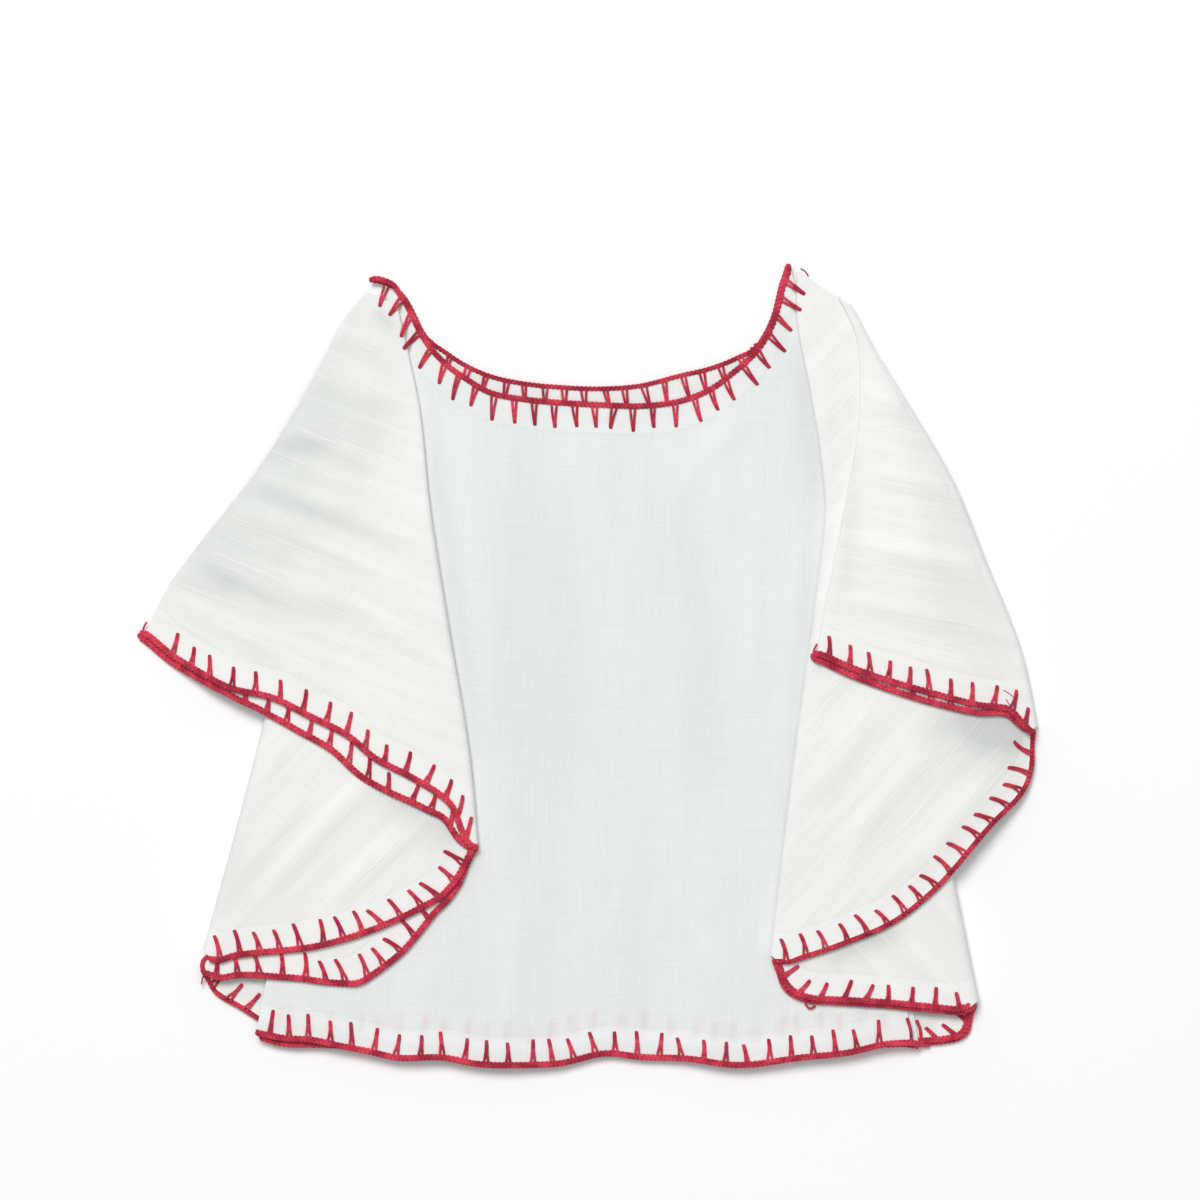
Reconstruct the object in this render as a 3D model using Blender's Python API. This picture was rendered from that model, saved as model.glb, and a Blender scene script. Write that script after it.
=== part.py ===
"""A small gauze blouse laid flat, with two wide sleeves folded in and crocheted edges.

The garment lies on the plane z = 0, front up, neck towards +Y and its left flaps
towards -X. The tables hold plan positions in millimetres, and the walls are worked
out from them: each sleeve is one sheet of two layers that runs through all its folds,
and each panel and flap is lifted by what lies under it.
"""

import math
from collections import namedtuple

import bpy
import numpy as np

# Driving sizes in millimetres
PANEL_WALL = 1.0
SLEEVE_WALL_AT_NECK = 1.0
SLEEVE_WALL_AT_HEM = 2.2
THICKENS_FROM = 20.0
THICKENS_OVER = 100.0
SEAM_GAP = 0.3
CORD_RADIUS = 1.0
CORD_SIDES = 6
LEAST_STEP = 1.9
MOST_MITRE = 2.0
EDGE_INSET = CORD_RADIUS + SEAM_GAP
CORD_PITCH = 2 * CORD_RADIUS + SEAM_GAP + 0.05
LIFT_MARGIN = 11.0
DROOP_WIDTH = 36.0
BODY_DROOP_WIDTH = 30.0
LOOSE_FOLD = 0.7
END_BEND = 26.0
LEFT_SHOULDER = (-84.0, 146.0)
RIGHT_SHOULDER = (92.0, 150.0)
BOX_CENTRE = (-2.04, 0.37, 0.0)
MILLIMETRE = 0.001
SHARP_FROM = math.radians(70)
LEAST_COSINE = 0.1

# Counts of rows and of columns
SLEEVE_ROWS = 12
TURN_STEPS = 5
PANEL_COLUMNS = 26
PANEL_ROWS = 8
PANEL_HEM_ROWS = (0.0, 5.5)
PANEL_LAST_ROW = 9.0
NECK_KNOTS = 40
SAMPLES = 240
FINE_SAMPLES = 4 * SAMPLES
OUTLINE_SAMPLES = 24

# Rounded closed end of a flap: how far out, and how much of the wall is left
NOSE = ((0.6, 0.8), (0.95, 0.32))

# Fold lines from shoulder to hem
LEFT_TIP = [(-91, 149.5), (-100, 138), (-108, 123), (-120.5, 100), (-134.5, 78), (-157, 50),
            (-171.5, 30), (-179.3, 14)]
LEFT_INNER = [(-78.5, 144.5), (-74, 125), (-70.5, 109), (-65, 61.5), (-58, 16.5), (-49.5, -35),
              (-45.7, -75)]
LEFT_OUTER = [(-89, 141), (-131.5, -20.5), (-144.5, -70.5), (-157.5, -118)]
LEFT_HIDDEN = [(-77.5, 134), (-40, -146.5)]
RIGHT_TIP = [(97.5, 147.5), (105, 131.5), (106.5, 119), (106, 98.5), (100, 61.5), (94, 31.5),
             (89.3, 6)]
RIGHT_SILHOUETTE = [(103, 144.5), (111.5, 128), (124, 107.5), (143.5, 74.5), (157, 42),
                    (171.5, 5.5), (178.5, -28)]
RIGHT_INNER = [(81, 157.5), (81.5, 136), (86, 113), (91, 81), (92.5, 61.5), (90.5, 42),
               (86, 8), (79.5, -40.5), (73, -94), (70, -119)]
RIGHT_OUTER = [(95, 148), (144, -84), (155, -138)]
RIGHT_HIDDEN = [(82.5, 138), (64, -148)]

# Edge lines, the middle of each crocheted chain
LEFT_TOP_FRONT = [(-179.5, 11.5), (-169, 4), (-159, -2), (-145.5, -9), (-128, -13), (-113, -20.5),
                  (-97.5, -28.5), (-87.5, -37), (-74, -44), (-59.5, -53), (-47.5, -66.5)]
LEFT_MIDDLE_BACK = [(-50.5, -84), (-58.5, -91), (-70, -97.5), (-89, -106),
                    (-109, -112), (-139.5, -115.5), (-158, -118)]
LEFT_UNDER_FRONT = [(-158.5, -126), (-154.5, -129.5), (-148, -133.5), (-141, -137),
                    (-136, -140.5), (-117.5, -146), (-40, -148)]
RIGHT_TOP_FRONT = [(88.5, 4), (96, 1.5), (114, -5), (136.5, -11.5), (154, -16), (171, -19),
                   (177.5, -24)]
RIGHT_MIDDLE = [(178.5, -33), (176, -41), (172, -50), (159, -63.5), (134.5, -91), (122, -101),
                (98.5, -111.5), (82, -117), (69, -120.5)]
RIGHT_LOWER = [(69, -123), (74, -128), (80, -131.5), (87, -134), (95.5, -134.5),
               (114.5, -135.5), (136, -137.5), (156, -139.5)]
RIGHT_UNDER = [(157, -142), (154.5, -146.5), (150, -149), (142, -151), (130, -152), (64, -149.5)]

# Neck and hem lines, from left to right
NECK_BACK = [(-86.5, 155.9), (-79.4, 152.5), (-74.8, 147.9), (-71.2, 141.6), (-67.6, 134.1),
             (-62.3, 127.8), (-56.1, 122.9), (-41.8, 115.8), (-27.6, 112.7), (-13.4, 111.3),
             (3, 110.7), (18.2, 111.8), (34.2, 115.8), (48.4, 119.3), (58.2, 123.5), (64, 128.2),
             (67.2, 132.6), (70.5, 139.2), (72.3, 145.5), (73.7, 151.9), (76, 158.8)]
NECK_FRONT = [(-87.3, 152.4), (-80.9, 150.9), (-76.4, 146.6), (-73, 140.6), (-69.4, 133.1),
              (-64.6, 126.1), (-57.8, 119.3), (-50.7, 114.4), (-42.7, 109.6), (-27.6, 106.4),
              (-13.4, 105.1), (3, 104.2), (20.8, 103.8), (35.9, 106), (48.4, 111.3),
              (55.5, 116.7), (60.8, 121.1), (65.8, 126.2), (69.2, 131.4), (72.4, 138.2),
              (74.3, 144.8), (75.8, 151.3), (78.3, 158.2)]
NECK_RIGHT_TIP = (78.0, 160.8)
NECK_LEFT_TIP = (-89.8, 154.4)
HEM_FRONT = [(-135, -147), (-124, -149.2), (-112, -150), (-103, -152), (-90, -154.5),
             (-79, -157), (-60, -157), (-47, -159.5), (-26.5, -160), (-14, -159.5), (5.5, -155.5),
             (19.5, -157), (37, -157.5), (57.5, -160), (83, -157), (102, -155), (118, -151.5),
             (127.5, -151)]
HEM_BACK = [(-133.5, -149), (-126, -151.3), (-112, -152), (-98, -152.5), (-79, -154),
            (-26.5, -157), (5.5, -152.5), (57.5, -157), (102, -152.5), (122, -151.5),
            (130, -152.5)]
BODY_LEFT_TOP = (-77.3, 145.3)
BODY_LEFT_HEM = (-133.3, -145.5)
BODY_RIGHT_TOP = (81.0, 157.5)
BODY_RIGHT_HEM = (126.8, -148.5)

# The front lies over the back's chain near the hem: distance from the hem, added height
HEM_RISE = ((0.0, 1.0), (5.5, 1.0), (9.0, 0.0), (400.0, 0.0))

# How far one layer of a flap reaches past the other along its hem, from the flap's
# first fold to its second. The sign of `up` says which way layer a faces.
Flap = namedtuple("Flap", "name first second hem lip longer up columns chains")
LEFT_SLEEVE = (
    Flap("under", LEFT_HIDDEN, LEFT_OUTER, LEFT_UNDER_FRONT, (0.5, 3, 5, 6), "a", 1, 9, "a"),
    Flap("middle", LEFT_OUTER, LEFT_INNER, LEFT_MIDDLE_BACK,
         (6.4, 8.5, 12, 19, 13, 4, 0.4), "a", -1, 13, "ab"),
    Flap("top", LEFT_INNER, LEFT_TIP, LEFT_TOP_FRONT,
         (0.4, 8, 9.5, 9, 7.5, 7, 2.5, 2.5, 2.5), "b", 1, 16, "ab"),
)
RIGHT_SLEEVE = (
    Flap("under", RIGHT_HIDDEN, RIGHT_OUTER, RIGHT_UNDER, (0.4, 0.4), "b", -1, 8, "b"),
    Flap("lower", RIGHT_OUTER, RIGHT_INNER, RIGHT_LOWER, (0.4, 0.4), "b", 1, 11, "b"),
    Flap("middle", RIGHT_INNER, RIGHT_SILHOUETTE, RIGHT_MIDDLE, (0.4, 0.4), "b", -1, 15, "b"),
    Flap("top", RIGHT_SILHOUETTE, RIGHT_TIP, RIGHT_TOP_FRONT, (0.4, 3.2, 3.6, 3, 2.4), "b", 1, 13,
         "ab"),
)

Material = namedtuple("Material", "name colour roughness")
GAUZE = Material("gauze", (0.86, 0.87, 0.85, 1.0), 0.9)
CROCHET = Material("crochet", (0.55, 0.03, 0.06, 1.0), 0.8)


def smooth_step(value):
    """0 to 1 with level ends, for values from 0 to 1."""
    held = np.clip(value, 0.0, 1.0)
    return held * held * (3.0 - 2.0 * held)


def smooth_line(points, samples=SAMPLES):
    """A smooth line through the points, as evenly spaced samples."""
    knots = np.asarray(points, float)
    if len(knots) == 2:
        return knots[0] + np.linspace(0, 1, samples)[:, None] * (knots[1] - knots[0])
    steps = np.linalg.norm(np.diff(knots, axis=0), axis=1)
    at = np.concatenate([[0.0], np.cumsum(steps)])
    slopes = np.gradient(knots, at, axis=0)
    where = np.linspace(0, at[-1], FINE_SAMPLES)
    span = np.clip(np.searchsorted(at, where, side="right") - 1, 0, len(steps) - 1)
    length = steps[span][:, None]
    t = ((where - at[span]) / steps[span])[:, None]
    start, start_way = 2 * t**3 - 3 * t**2 + 1, t**3 - 2 * t**2 + t
    end, end_way = 3 * t**2 - 2 * t**3, t**3 - t**2
    curve = (start * knots[span] + start_way * length * slopes[span]
             + end * knots[span + 1] + end_way * length * slopes[span + 1])
    return resampled(curve, np.linspace(0, 1, samples))


def resampled(curve, shares):
    """Points of a line at these shares of its length."""
    steps = np.linalg.norm(np.diff(curve, axis=0), axis=1)
    at = np.concatenate([[0.0], np.cumsum(steps)])
    return np.stack([np.interp(np.asarray(shares) * at[-1], at, curve[:, axis])
                     for axis in range(curve.shape[1])], axis=1)


def sideways(curve):
    """Unit vectors in plan, to the right of the way along each point of a line."""
    along = np.gradient(curve[:, :2], axis=0)
    along /= np.linalg.norm(along, axis=1)[:, None]
    return np.stack([along[:, 1], -along[:, 0]], axis=1)


def outside_distance(points, outline):
    """How far each plan point lies outside a closed outline, and 0 inside it."""
    points = np.atleast_2d(points)
    a, b = outline, np.roll(outline, -1, axis=0)
    edge = b - a
    from_a = points[:, None, :] - a[None]
    share = np.clip((from_a * edge).sum(-1) / (edge**2).sum(-1), 0, 1)
    nearest = np.linalg.norm(from_a - share[..., None] * edge, axis=-1).min(axis=1)
    rises = (a[:, 1] > points[:, 1:2]) != (b[:, 1] > points[:, 1:2])
    with np.errstate(divide="ignore", invalid="ignore"):
        crossing = a[:, 0] + (points[:, 1:2] - a[:, 1]) * edge[:, 0] / edge[:, 1]
    inside = (rises & (points[:, 0:1] < crossing)).sum(axis=1) % 2 == 1
    return np.where(inside, 0.0, nearest)


def carried(points, outlines, width):
    """1 over any of the outlines and near it, falling to 0 where only the floor lies below."""
    away = np.min([outside_distance(points, outline) for outline in outlines], axis=0)
    return 1.0 - smooth_step((away - LIFT_MARGIN) / width)


def sleeve_wall(points, shoulder):
    """Thickness of a sleeve's two layers, thin at the shoulder and full near the hem."""
    away = np.linalg.norm(np.atleast_2d(points)[:, :2] - shoulder, axis=1)
    share = smooth_step((away - THICKENS_FROM) / THICKENS_OVER)
    return SLEEVE_WALL_AT_NECK + (SLEEVE_WALL_AT_HEM - SLEEVE_WALL_AT_NECK) * share


def flap_outline(flap):
    """Plan outline of a flap, with its folds and its hem."""
    hem = resampled(oriented_hem(flap), np.linspace(0, 1, OUTLINE_SAMPLES))
    return np.concatenate([smooth_line(flap.first, OUTLINE_SAMPLES), hem,
                           smooth_line(flap.second, OUTLINE_SAMPLES)[::-1]])


def oriented_hem(flap):
    """A flap's hem line, running from its first fold to its second."""
    hem = smooth_line(flap.hem)
    start = np.asarray(flap.first[-1], float)
    if np.linalg.norm(hem[0] - start) > np.linalg.norm(hem[-1] - start):
        hem = hem[::-1]
    return hem


def body_outline():
    """Plan outline of the body, front and back together."""
    neck = smooth_line(NECK_BACK, OUTLINE_SAMPLES)
    inside = (neck[:, 0] > BODY_LEFT_TOP[0]) & (neck[:, 0] < BODY_RIGHT_TOP[0])
    return np.concatenate([[BODY_LEFT_TOP], neck[inside], [BODY_RIGHT_TOP, BODY_RIGHT_HEM],
                           smooth_line(HEM_FRONT, OUTLINE_SAMPLES)[::-1], [BODY_LEFT_HEM]])


BODY_OUTLINE = body_outline()
LEFT_OUTLINES = [flap_outline(flap) for flap in LEFT_SLEEVE]
RIGHT_OUTLINES = [flap_outline(flap) for flap in RIGHT_SLEEVE]


def back_height(points):
    """Underside of the back panel, lifted by the sleeves' flaps below it."""
    left = carried(points, LEFT_OUTLINES[:1], BODY_DROOP_WIDTH)
    right = carried(points, RIGHT_OUTLINES[:1], BODY_DROOP_WIDTH)
    return (left * (sleeve_wall(points, LEFT_SHOULDER) + SEAM_GAP)
            + right * (sleeve_wall(points, RIGHT_SHOULDER) + SEAM_GAP))


def front_height(points):
    """Underside of the front panel, on the back panel."""
    return back_height(points) + PANEL_WALL + SEAM_GAP


def flap_height(side, index, points):
    """Underside of a sleeve's flap, counted from the floor up."""
    outlines = LEFT_OUTLINES if side == "left" else RIGHT_OUTLINES
    shoulder = LEFT_SHOULDER if side == "left" else RIGHT_SHOULDER
    if index == 0:
        return np.zeros(len(np.atleast_2d(points)))
    step = sleeve_wall(points, shoulder) + SEAM_GAP
    panels = 2 * (PANEL_WALL + SEAM_GAP)
    below = index if index < 3 else 2
    held = carried(points, outlines[:below] + [BODY_OUTLINE], DROOP_WIDTH)
    height = (below * step + panels) * held
    return height if index < 3 else height + step + LOOSE_FOLD * (1 - held)


def fanned_patch(hem, first, second):
    """Plan grid between two fold lines, each row bent like the hem in proportion to its width."""
    span = hem[-1] - hem[0]
    turned = np.array([-span[1], span[0]])
    from_start = hem - hem[0]
    along = from_start @ span / (span @ span)
    aside = from_start @ turned / (span @ span)
    straight = np.linspace(0, 1, len(hem))
    grid = []
    for u, there, bend in zip(straight, along, aside):
        rows = []
        for v, start, end in zip(np.linspace(0, 1, len(first)), first, second):
            across = end - start
            rows.append(start + across * mixed(u, there, v)
                        + np.array([-across[1], across[0]]) * bend * v)
        grid.append(rows)
    return np.array(grid)


def fitted_ends(curve, start, end):
    """The line bent near its two ends so that it runs from start to end."""
    steps = np.linalg.norm(np.diff(curve, axis=0), axis=1)
    at = np.concatenate([[0.0], np.cumsum(steps)])[:, None]
    near_start = 1 - smooth_step(at / END_BEND)
    near_end = 1 - smooth_step((at[-1] - at) / END_BEND)
    return curve + near_start * (start - curve[0]) + near_end * (end - curve[-1])


Column = namedtuple("Column", "middle normal wall end_a end_b way chain_a chain_b aside on_flap")


class Sleeve:
    """One sleeve as a sheet of two layers, folded to and fro from the floor up."""

    def __init__(self, side, flaps, shoulder):
        self.side, self.flaps, self.shoulder = side, flaps, shoulder
        self.columns = []

    def middle_height(self, index, points):
        wall = sleeve_wall(points, self.shoulder)
        return flap_height(self.side, index, points) + wall / 2

    def outward(self, line, other):
        """Unit vectors in plan from a fold line away from the flap beside it."""
        across = sideways(line)
        flip = np.sign(((line - other) * across).sum(axis=1).mean())
        return across * flip

    def side_line(self, index, which):
        """A flap's edge: its fold line drawn in by the reach of the turn, with its way out."""
        flap = self.flaps[index]
        fold = resampled(smooth_line(getattr(flap, which)), np.linspace(0, 1, SLEEVE_ROWS + 1))
        other = flap.first if which == "second" else flap.second
        across = self.outward(fold, resampled(smooth_line(other), np.linspace(0, 1, len(fold))))
        wall = sleeve_wall(fold, self.shoulder)
        neighbour = index + (1 if which == "second" else -1)
        reach = wall / 2
        if 0 <= neighbour < len(self.flaps):
            low, high = sorted((index, neighbour))
            rise = self.middle_height(high, fold) - self.middle_height(low, fold)
            reach = reach + rise / 2
        return fold - across * reach[:, None], across

    def flap_columns(self, index):
        flap = self.flaps[index]
        first, out_first = self.side_line(index, "first")
        second, out_second = self.side_line(index, "second")
        shares = np.linspace(0, 1, flap.columns)
        hem_line = oriented_hem(flap)
        across = self.outward(hem_line, np.broadcast_to(first[0], hem_line.shape))
        lips = np.interp(np.linspace(0, 1, len(hem_line)), np.linspace(0, 1, len(flap.lip)),
                         flap.lip)
        visible = hem_line - across * EDGE_INSET
        inner = visible - across * lips[:, None] if self.hides_short(flap) else visible
        short = resampled(inner, shares)
        short = fitted_ends(short, first[-1], second[-1])
        way = resampled(across, shares)
        way /= np.linalg.norm(way, axis=1)[:, None]
        mitre = np.ones(flap.columns)
        for at, side in ((0, first), (-1, second)):
            along = (side[-1] - side[-2]) / np.linalg.norm(side[-1] - side[-2])
            mitre[at] = min(MOST_MITRE, 1 / max(float(along @ way[at]), LEAST_COSINE))
            way[at] = along
        reach = np.interp(shares, np.linspace(0, 1, len(flap.lip)), flap.lip)
        long = short + way * reach[:, None]
        grid = fanned_patch(short, first, second)
        made = []
        for column in range(flap.columns):
            plan = grid[column]
            wall = sleeve_wall(plan, self.shoulder)
            middle = np.column_stack([plan, self.middle_height(index, plan)])
            normal = np.tile([0.0, 0.0, float(flap.up)], (len(plan), 1))
            end = np.append(long[column], self.middle_height(index, long[column])[0])
            ends = (end, middle[-1]) if flap.longer == "a" else (middle[-1], end)
            low, high = self.chain_heights(flap, wall[-1], reach[column])
            rise_a, rise_b = (high, low) if flap.up > 0 else (low, high)
            made.append(Column(middle, normal, wall, *ends, way[column] * mitre[column],
                               rise_a * flap.up, rise_b * flap.up, np.zeros(2), True))
        return made, out_first, out_second

    def chain_heights(self, flap, wall, reach):
        """Heights of the lower and the upper chain's middle above the middle of the wall."""
        low = CORD_RADIUS - wall / 2
        if len(flap.chains) == 1:
            return low, low
        apart = math.sqrt(max(0.0, CORD_PITCH**2 - reach**2))
        return low, max(SEAM_GAP + CORD_RADIUS, low + apart)

    def hides_short(self, flap):
        """The hem table gives the longer layer where that is the one on top."""
        return (flap.longer == "a") == (flap.up > 0)

    def turn_columns(self, below, above, across):
        """The round turn from a flap to the next one up, without its two end columns."""
        made = []
        lower, upper = below.middle, above.middle
        centre = (lower + upper) / 2
        radius = (upper[:, 2] - lower[:, 2]) / 2
        out = np.column_stack([across, np.zeros(len(across))])
        facing = below.normal[0, 2]
        along = (centre[-1] - centre[-2]) * [1, 1, 0]
        along /= np.linalg.norm(along)
        reach_below = [np.linalg.norm((end - lower[-1])[:2]) for end in (below.end_a, below.end_b)]
        reach_above = [np.linalg.norm((end - upper[-1])[:2]) for end in (above.end_a, above.end_b)]
        for step in range(1, TURN_STEPS):
            share = step / TURN_STEPS
            angle = math.pi * share
            spoke = out * math.sin(angle) + np.array([0, 0, -math.cos(angle)])
            middle = centre + radius[:, None] * spoke
            normal = -facing * spoke
            ends = [middle[-1] + along * mixed(low, high, share)
                    for low, high in zip(reach_below, reach_above)]
            made.append(Column(middle, normal, below.wall, *ends,
                               mixed(below.way, above.way, share),
                               mixed(below.chain_a, above.chain_a, share),
                               mixed(below.chain_b, above.chain_b, share), np.zeros(2), False))
        return made

    def nose_columns(self, edge, across):
        """The rounded closed end beside a flap's last column."""
        out = np.column_stack([across, np.zeros(len(across))])
        made = []
        for reach, share in NOSE:
            move = out * (edge.wall / 2 * reach)[:, None]
            made.append(edge._replace(middle=edge.middle + move, wall=edge.wall * share,
                                      end_a=edge.end_a + move[-1], end_b=edge.end_b + move[-1],
                                      aside=across[-1] * EDGE_INSET * reach, on_flap=False))
        return made

    def fold(self):
        """All columns, from the closed end of the lowest flap to that of the top one."""
        columns = []
        self.starts = []
        for index in range(len(self.flaps)):
            made, out_first, out_second = self.flap_columns(index)
            if index == 0:
                columns += self.nose_columns(made[0], out_first)[::-1]
            else:
                columns += self.turn_columns(columns[-1], made[0], out_first)
            self.starts.append(len(columns))
            columns += made
        self.last_edge = len(columns) - 1
        columns += self.nose_columns(columns[-1], out_second)
        return columns

    def strand(self, columns, layer):
        """Places of one layer's chain, just past the layer's hem."""
        places = []
        for column in columns:
            end = column.end_a if layer == "a" else column.end_b
            lift = column.chain_a if layer == "a" else column.chain_b
            aside = np.append(column.way * EDGE_INSET + column.aside, 0.0)
            places.append((end + aside + column.normal[-1] * lift, column.on_flap))
        return places

    def ring(self, column):
        """Closed loop round one column: layer a down to its hem, and layer b back up."""
        half = column.normal * (column.wall / 2)[:, None]
        side_a = column.middle + half
        side_b = column.middle - half
        step = np.array([column.end_a + half[-1], column.end_a, column.end_b,
                         column.end_b - half[-1]])
        return np.concatenate([side_a[:-1], step, side_b[:-1][::-1]])


def mixed(start, end, share):
    return (1 - share) * start + share * end


def panel(neck_line, hem_line, height, rise):
    """Loops round each column of a body panel, and the places of the chain along its hem."""
    neck = smooth_line(neck_line)
    neck = clipped(neck + sideways(neck) * EDGE_INSET, (BODY_LEFT_TOP, BODY_RIGHT_TOP))
    hem = smooth_line(hem_line)
    down = sideways(hem)
    hem = hem - down * EDGE_INSET
    shares = np.linspace(0, 1, PANEL_COLUMNS)
    tops = fitted_ends(resampled(neck, shares), np.array(BODY_LEFT_TOP), np.array(BODY_RIGHT_TOP))
    hems = resampled(hem, shares)
    rings, chain = [], []
    for top, low, way in zip(tops, hems, resampled(down, shares)):
        length = np.linalg.norm(low - top)
        rows = PANEL_HEM_ROWS + tuple(np.linspace(PANEL_LAST_ROW, length, PANEL_ROWS))
        from_hem = np.array(rows)[::-1]
        plan = low + from_hem[:, None] / length * (top - low)
        under = height(plan) + rise * np.interp(from_hem, *np.transpose(HEM_RISE))
        floor = np.column_stack([plan, under])
        rings.append(np.concatenate([floor + [0, 0, PANEL_WALL], floor[::-1]]))
        past_hem = low + way / np.linalg.norm(way) * EDGE_INSET
        chain.append(np.append(past_hem, under[-1] + CORD_RADIUS))
    return rings, chain


def clipped(curve, ends):
    """The stretch of a line between its nearest points to two places."""
    first, last = (int(np.argmin(np.linalg.norm(curve - np.asarray(end), axis=1))) for end in ends)
    return curve[first:last + 1]


def wall_mesh(rings, stepped=False):
    """Vertices and triangles of the solid that runs through equal loops, closed at both ends."""
    size = len(rings[0])
    half = size // 2
    vertices = np.concatenate(rings)
    faces = []
    for i in range(len(rings) - 1):
        for k in range(size):
            a, b = i * size + k, i * size + (k + 1) % size
            c, d = a + size, b + size
            faces += [(a, c, d), (a, d, b)] if k < half else [(a, c, b), (c, d, b)]
    last = (len(rings) - 1) * size
    for start, turned in ((0, False), (last, True)):
        cap = cap_faces(vertices[start:start + size], stepped)
        faces += [tuple(start + k for k in (face[::-1] if turned else face)) for face in cap]
    return vertices, faces


def cap_faces(ring, stepped):
    """Triangles that close one loop, fanned from the inner corner where a layer reaches further."""
    size = len(ring)
    half = size // 2
    pairs = half - 3 if stepped else half - 1
    faces = []
    for k in range(pairs):
        a, b, c, d = k, k + 1, size - 2 - k, size - 1 - k
        faces += [(a, b, c), (a, c, d)]
    if stepped:
        reach = [np.linalg.norm(ring[k] - ring[half - 3]) for k in (half - 1, half)]
        corner = half - 1 if reach[0] < reach[1] else half
        rim = list(range(half - 3, half + 3))
        at = rim.index(corner)
        rim = rim[at + 1:] + rim[:at]
        faces += [(corner, one, two) for one, two in zip(rim, rim[1:])]
    return faces


def carried_frame(along):
    """A unit vector across the path at each place, turned as little as the path allows."""
    side = np.cross(along[0], [0, 0, 1.0])
    sides = []
    for way in along:
        side = side - way * (side @ way)
        side = side / np.linalg.norm(side)
        sides.append(side)
    return np.array(sides)


def cord_mesh(path, closed):
    """Vertices and faces of a round cord along its path, with flat ends or joined up."""
    path = np.asarray(path, float)
    count = len(path)
    if closed:
        along = np.roll(path, -1, axis=0) - np.roll(path, 1, axis=0)
    else:
        along = np.gradient(path, axis=0)
    along /= np.linalg.norm(along, axis=1)[:, None]
    side = carried_frame(along)
    up = np.cross(side, along)
    vertices = []
    for place, across, rise in zip(path, side, up):
        for k in range(CORD_SIDES):
            angle = 2 * math.pi * (k + 0.5) / CORD_SIDES
            spoke = across * math.cos(angle) + rise * math.sin(angle)
            vertices.append(place + CORD_RADIUS * spoke)
    faces = []
    for i in range(count if closed else count - 1):
        nxt = (i + 1) % count
        for k in range(CORD_SIDES):
            j = (k + 1) % CORD_SIDES
            faces.append((i * CORD_SIDES + k, i * CORD_SIDES + j, nxt * CORD_SIDES + j,
                          nxt * CORD_SIDES + k))
    if not closed:
        faces.append(tuple(reversed(range(CORD_SIDES))))
        faces.append(tuple((count - 1) * CORD_SIDES + k for k in range(CORD_SIDES)))
    return np.array(vertices), faces


def sleeve_chain(sleeve, columns):
    """A sleeve's chain: one layer's from its hidden end round the tip, then the other's back."""
    there, back = sleeve.flaps[0].chains, "b" if sleeve.flaps[0].chains == "a" else "a"
    first_seen = next(index for index, flap in enumerate(sleeve.flaps) if back in flap.chains)
    path = sleeve.strand(columns[sleeve.starts[0]:], there)
    return spaced(path + sleeve.strand(columns[sleeve.starts[first_seen]:], back)[::-1])


def spaced(path):
    """The path's places, thinned in the turns, where they lie closer than a cord can bend.

    Each entry is a place and whether it lies on a flap. Places on flaps are kept, and two
    that meet at a fold become one.
    """
    least = CORD_RADIUS * LEAST_STEP
    firm = [index for index, (_, on_flap) in enumerate(path) if on_flap]
    kept = [path[firm[0]][0]]
    for before, after in zip(firm, firm[1:]):
        goal = path[after][0]
        if np.linalg.norm(goal - kept[-1]) < least:
            kept[-1] = (goal + kept[-1]) / 2
            continue
        for place, _ in path[before + 1:after]:
            clear = min(np.linalg.norm(place - kept[-1]), np.linalg.norm(place - goal))
            if clear >= least:
                kept.append(place)
        kept.append(goal)
    return kept


def neck_chain():
    """The neck's chain: along the back, round the right tip, along the front and round the left."""
    back = resampled(smooth_line(NECK_BACK), np.linspace(0, 1, NECK_KNOTS))
    front = resampled(smooth_line(NECK_FRONT), np.linspace(1, 0, NECK_KNOTS))
    places = []
    for line, tip, height in ((back, NECK_RIGHT_TIP, back_height),
                              (front, NECK_LEFT_TIP, front_height)):
        line = np.concatenate([line, [tip]])
        places += list(np.column_stack([line, height(line) + CORD_RADIUS]))
    return places


def clear_scene():
    for thing in list(bpy.data.objects):
        bpy.data.objects.remove(thing, do_unlink=True)


def finish_of(finish):
    """The Principled material of a finish, made once."""
    found = bpy.data.materials.get(finish.name)
    if found:
        return found
    material = bpy.data.materials.new(finish.name)
    material.use_nodes = True
    shader = next(node for node in material.node_tree.nodes if node.type == "BSDF_PRINCIPLED")
    shader.inputs["Base Color"].default_value = finish.colour
    shader.inputs["Roughness"].default_value = finish.roughness
    shader.inputs["Metallic"].default_value = 0.0
    return material


def add_piece(name, vertices, faces, finish):
    """One named object, from sizes in millimetres, with its box's middle moved to the origin."""
    vertices = np.asarray(vertices) - BOX_CENTRE
    mesh = bpy.data.meshes.new(name)
    mesh.from_pydata((vertices * MILLIMETRE).tolist(), [], faces)
    if signed_volume(vertices, faces) < 0:
        mesh.flip_normals()
    mesh.shade_smooth()
    mesh.set_sharp_from_angle(angle=SHARP_FROM)
    mesh.materials.append(finish_of(finish))
    mesh.update()
    piece = bpy.data.objects.new(name, mesh)
    bpy.context.scene.collection.objects.link(piece)
    return piece


def signed_volume(vertices, faces):
    """Six times the volume that the faces hold, positive when they face out."""
    total = 0.0
    for face in faces:
        for k in range(1, len(face) - 1):
            a, b, c = vertices[face[0]], vertices[face[k]], vertices[face[k + 1]]
            total += float(np.dot(a, np.cross(b, c)))
    return total


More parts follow.
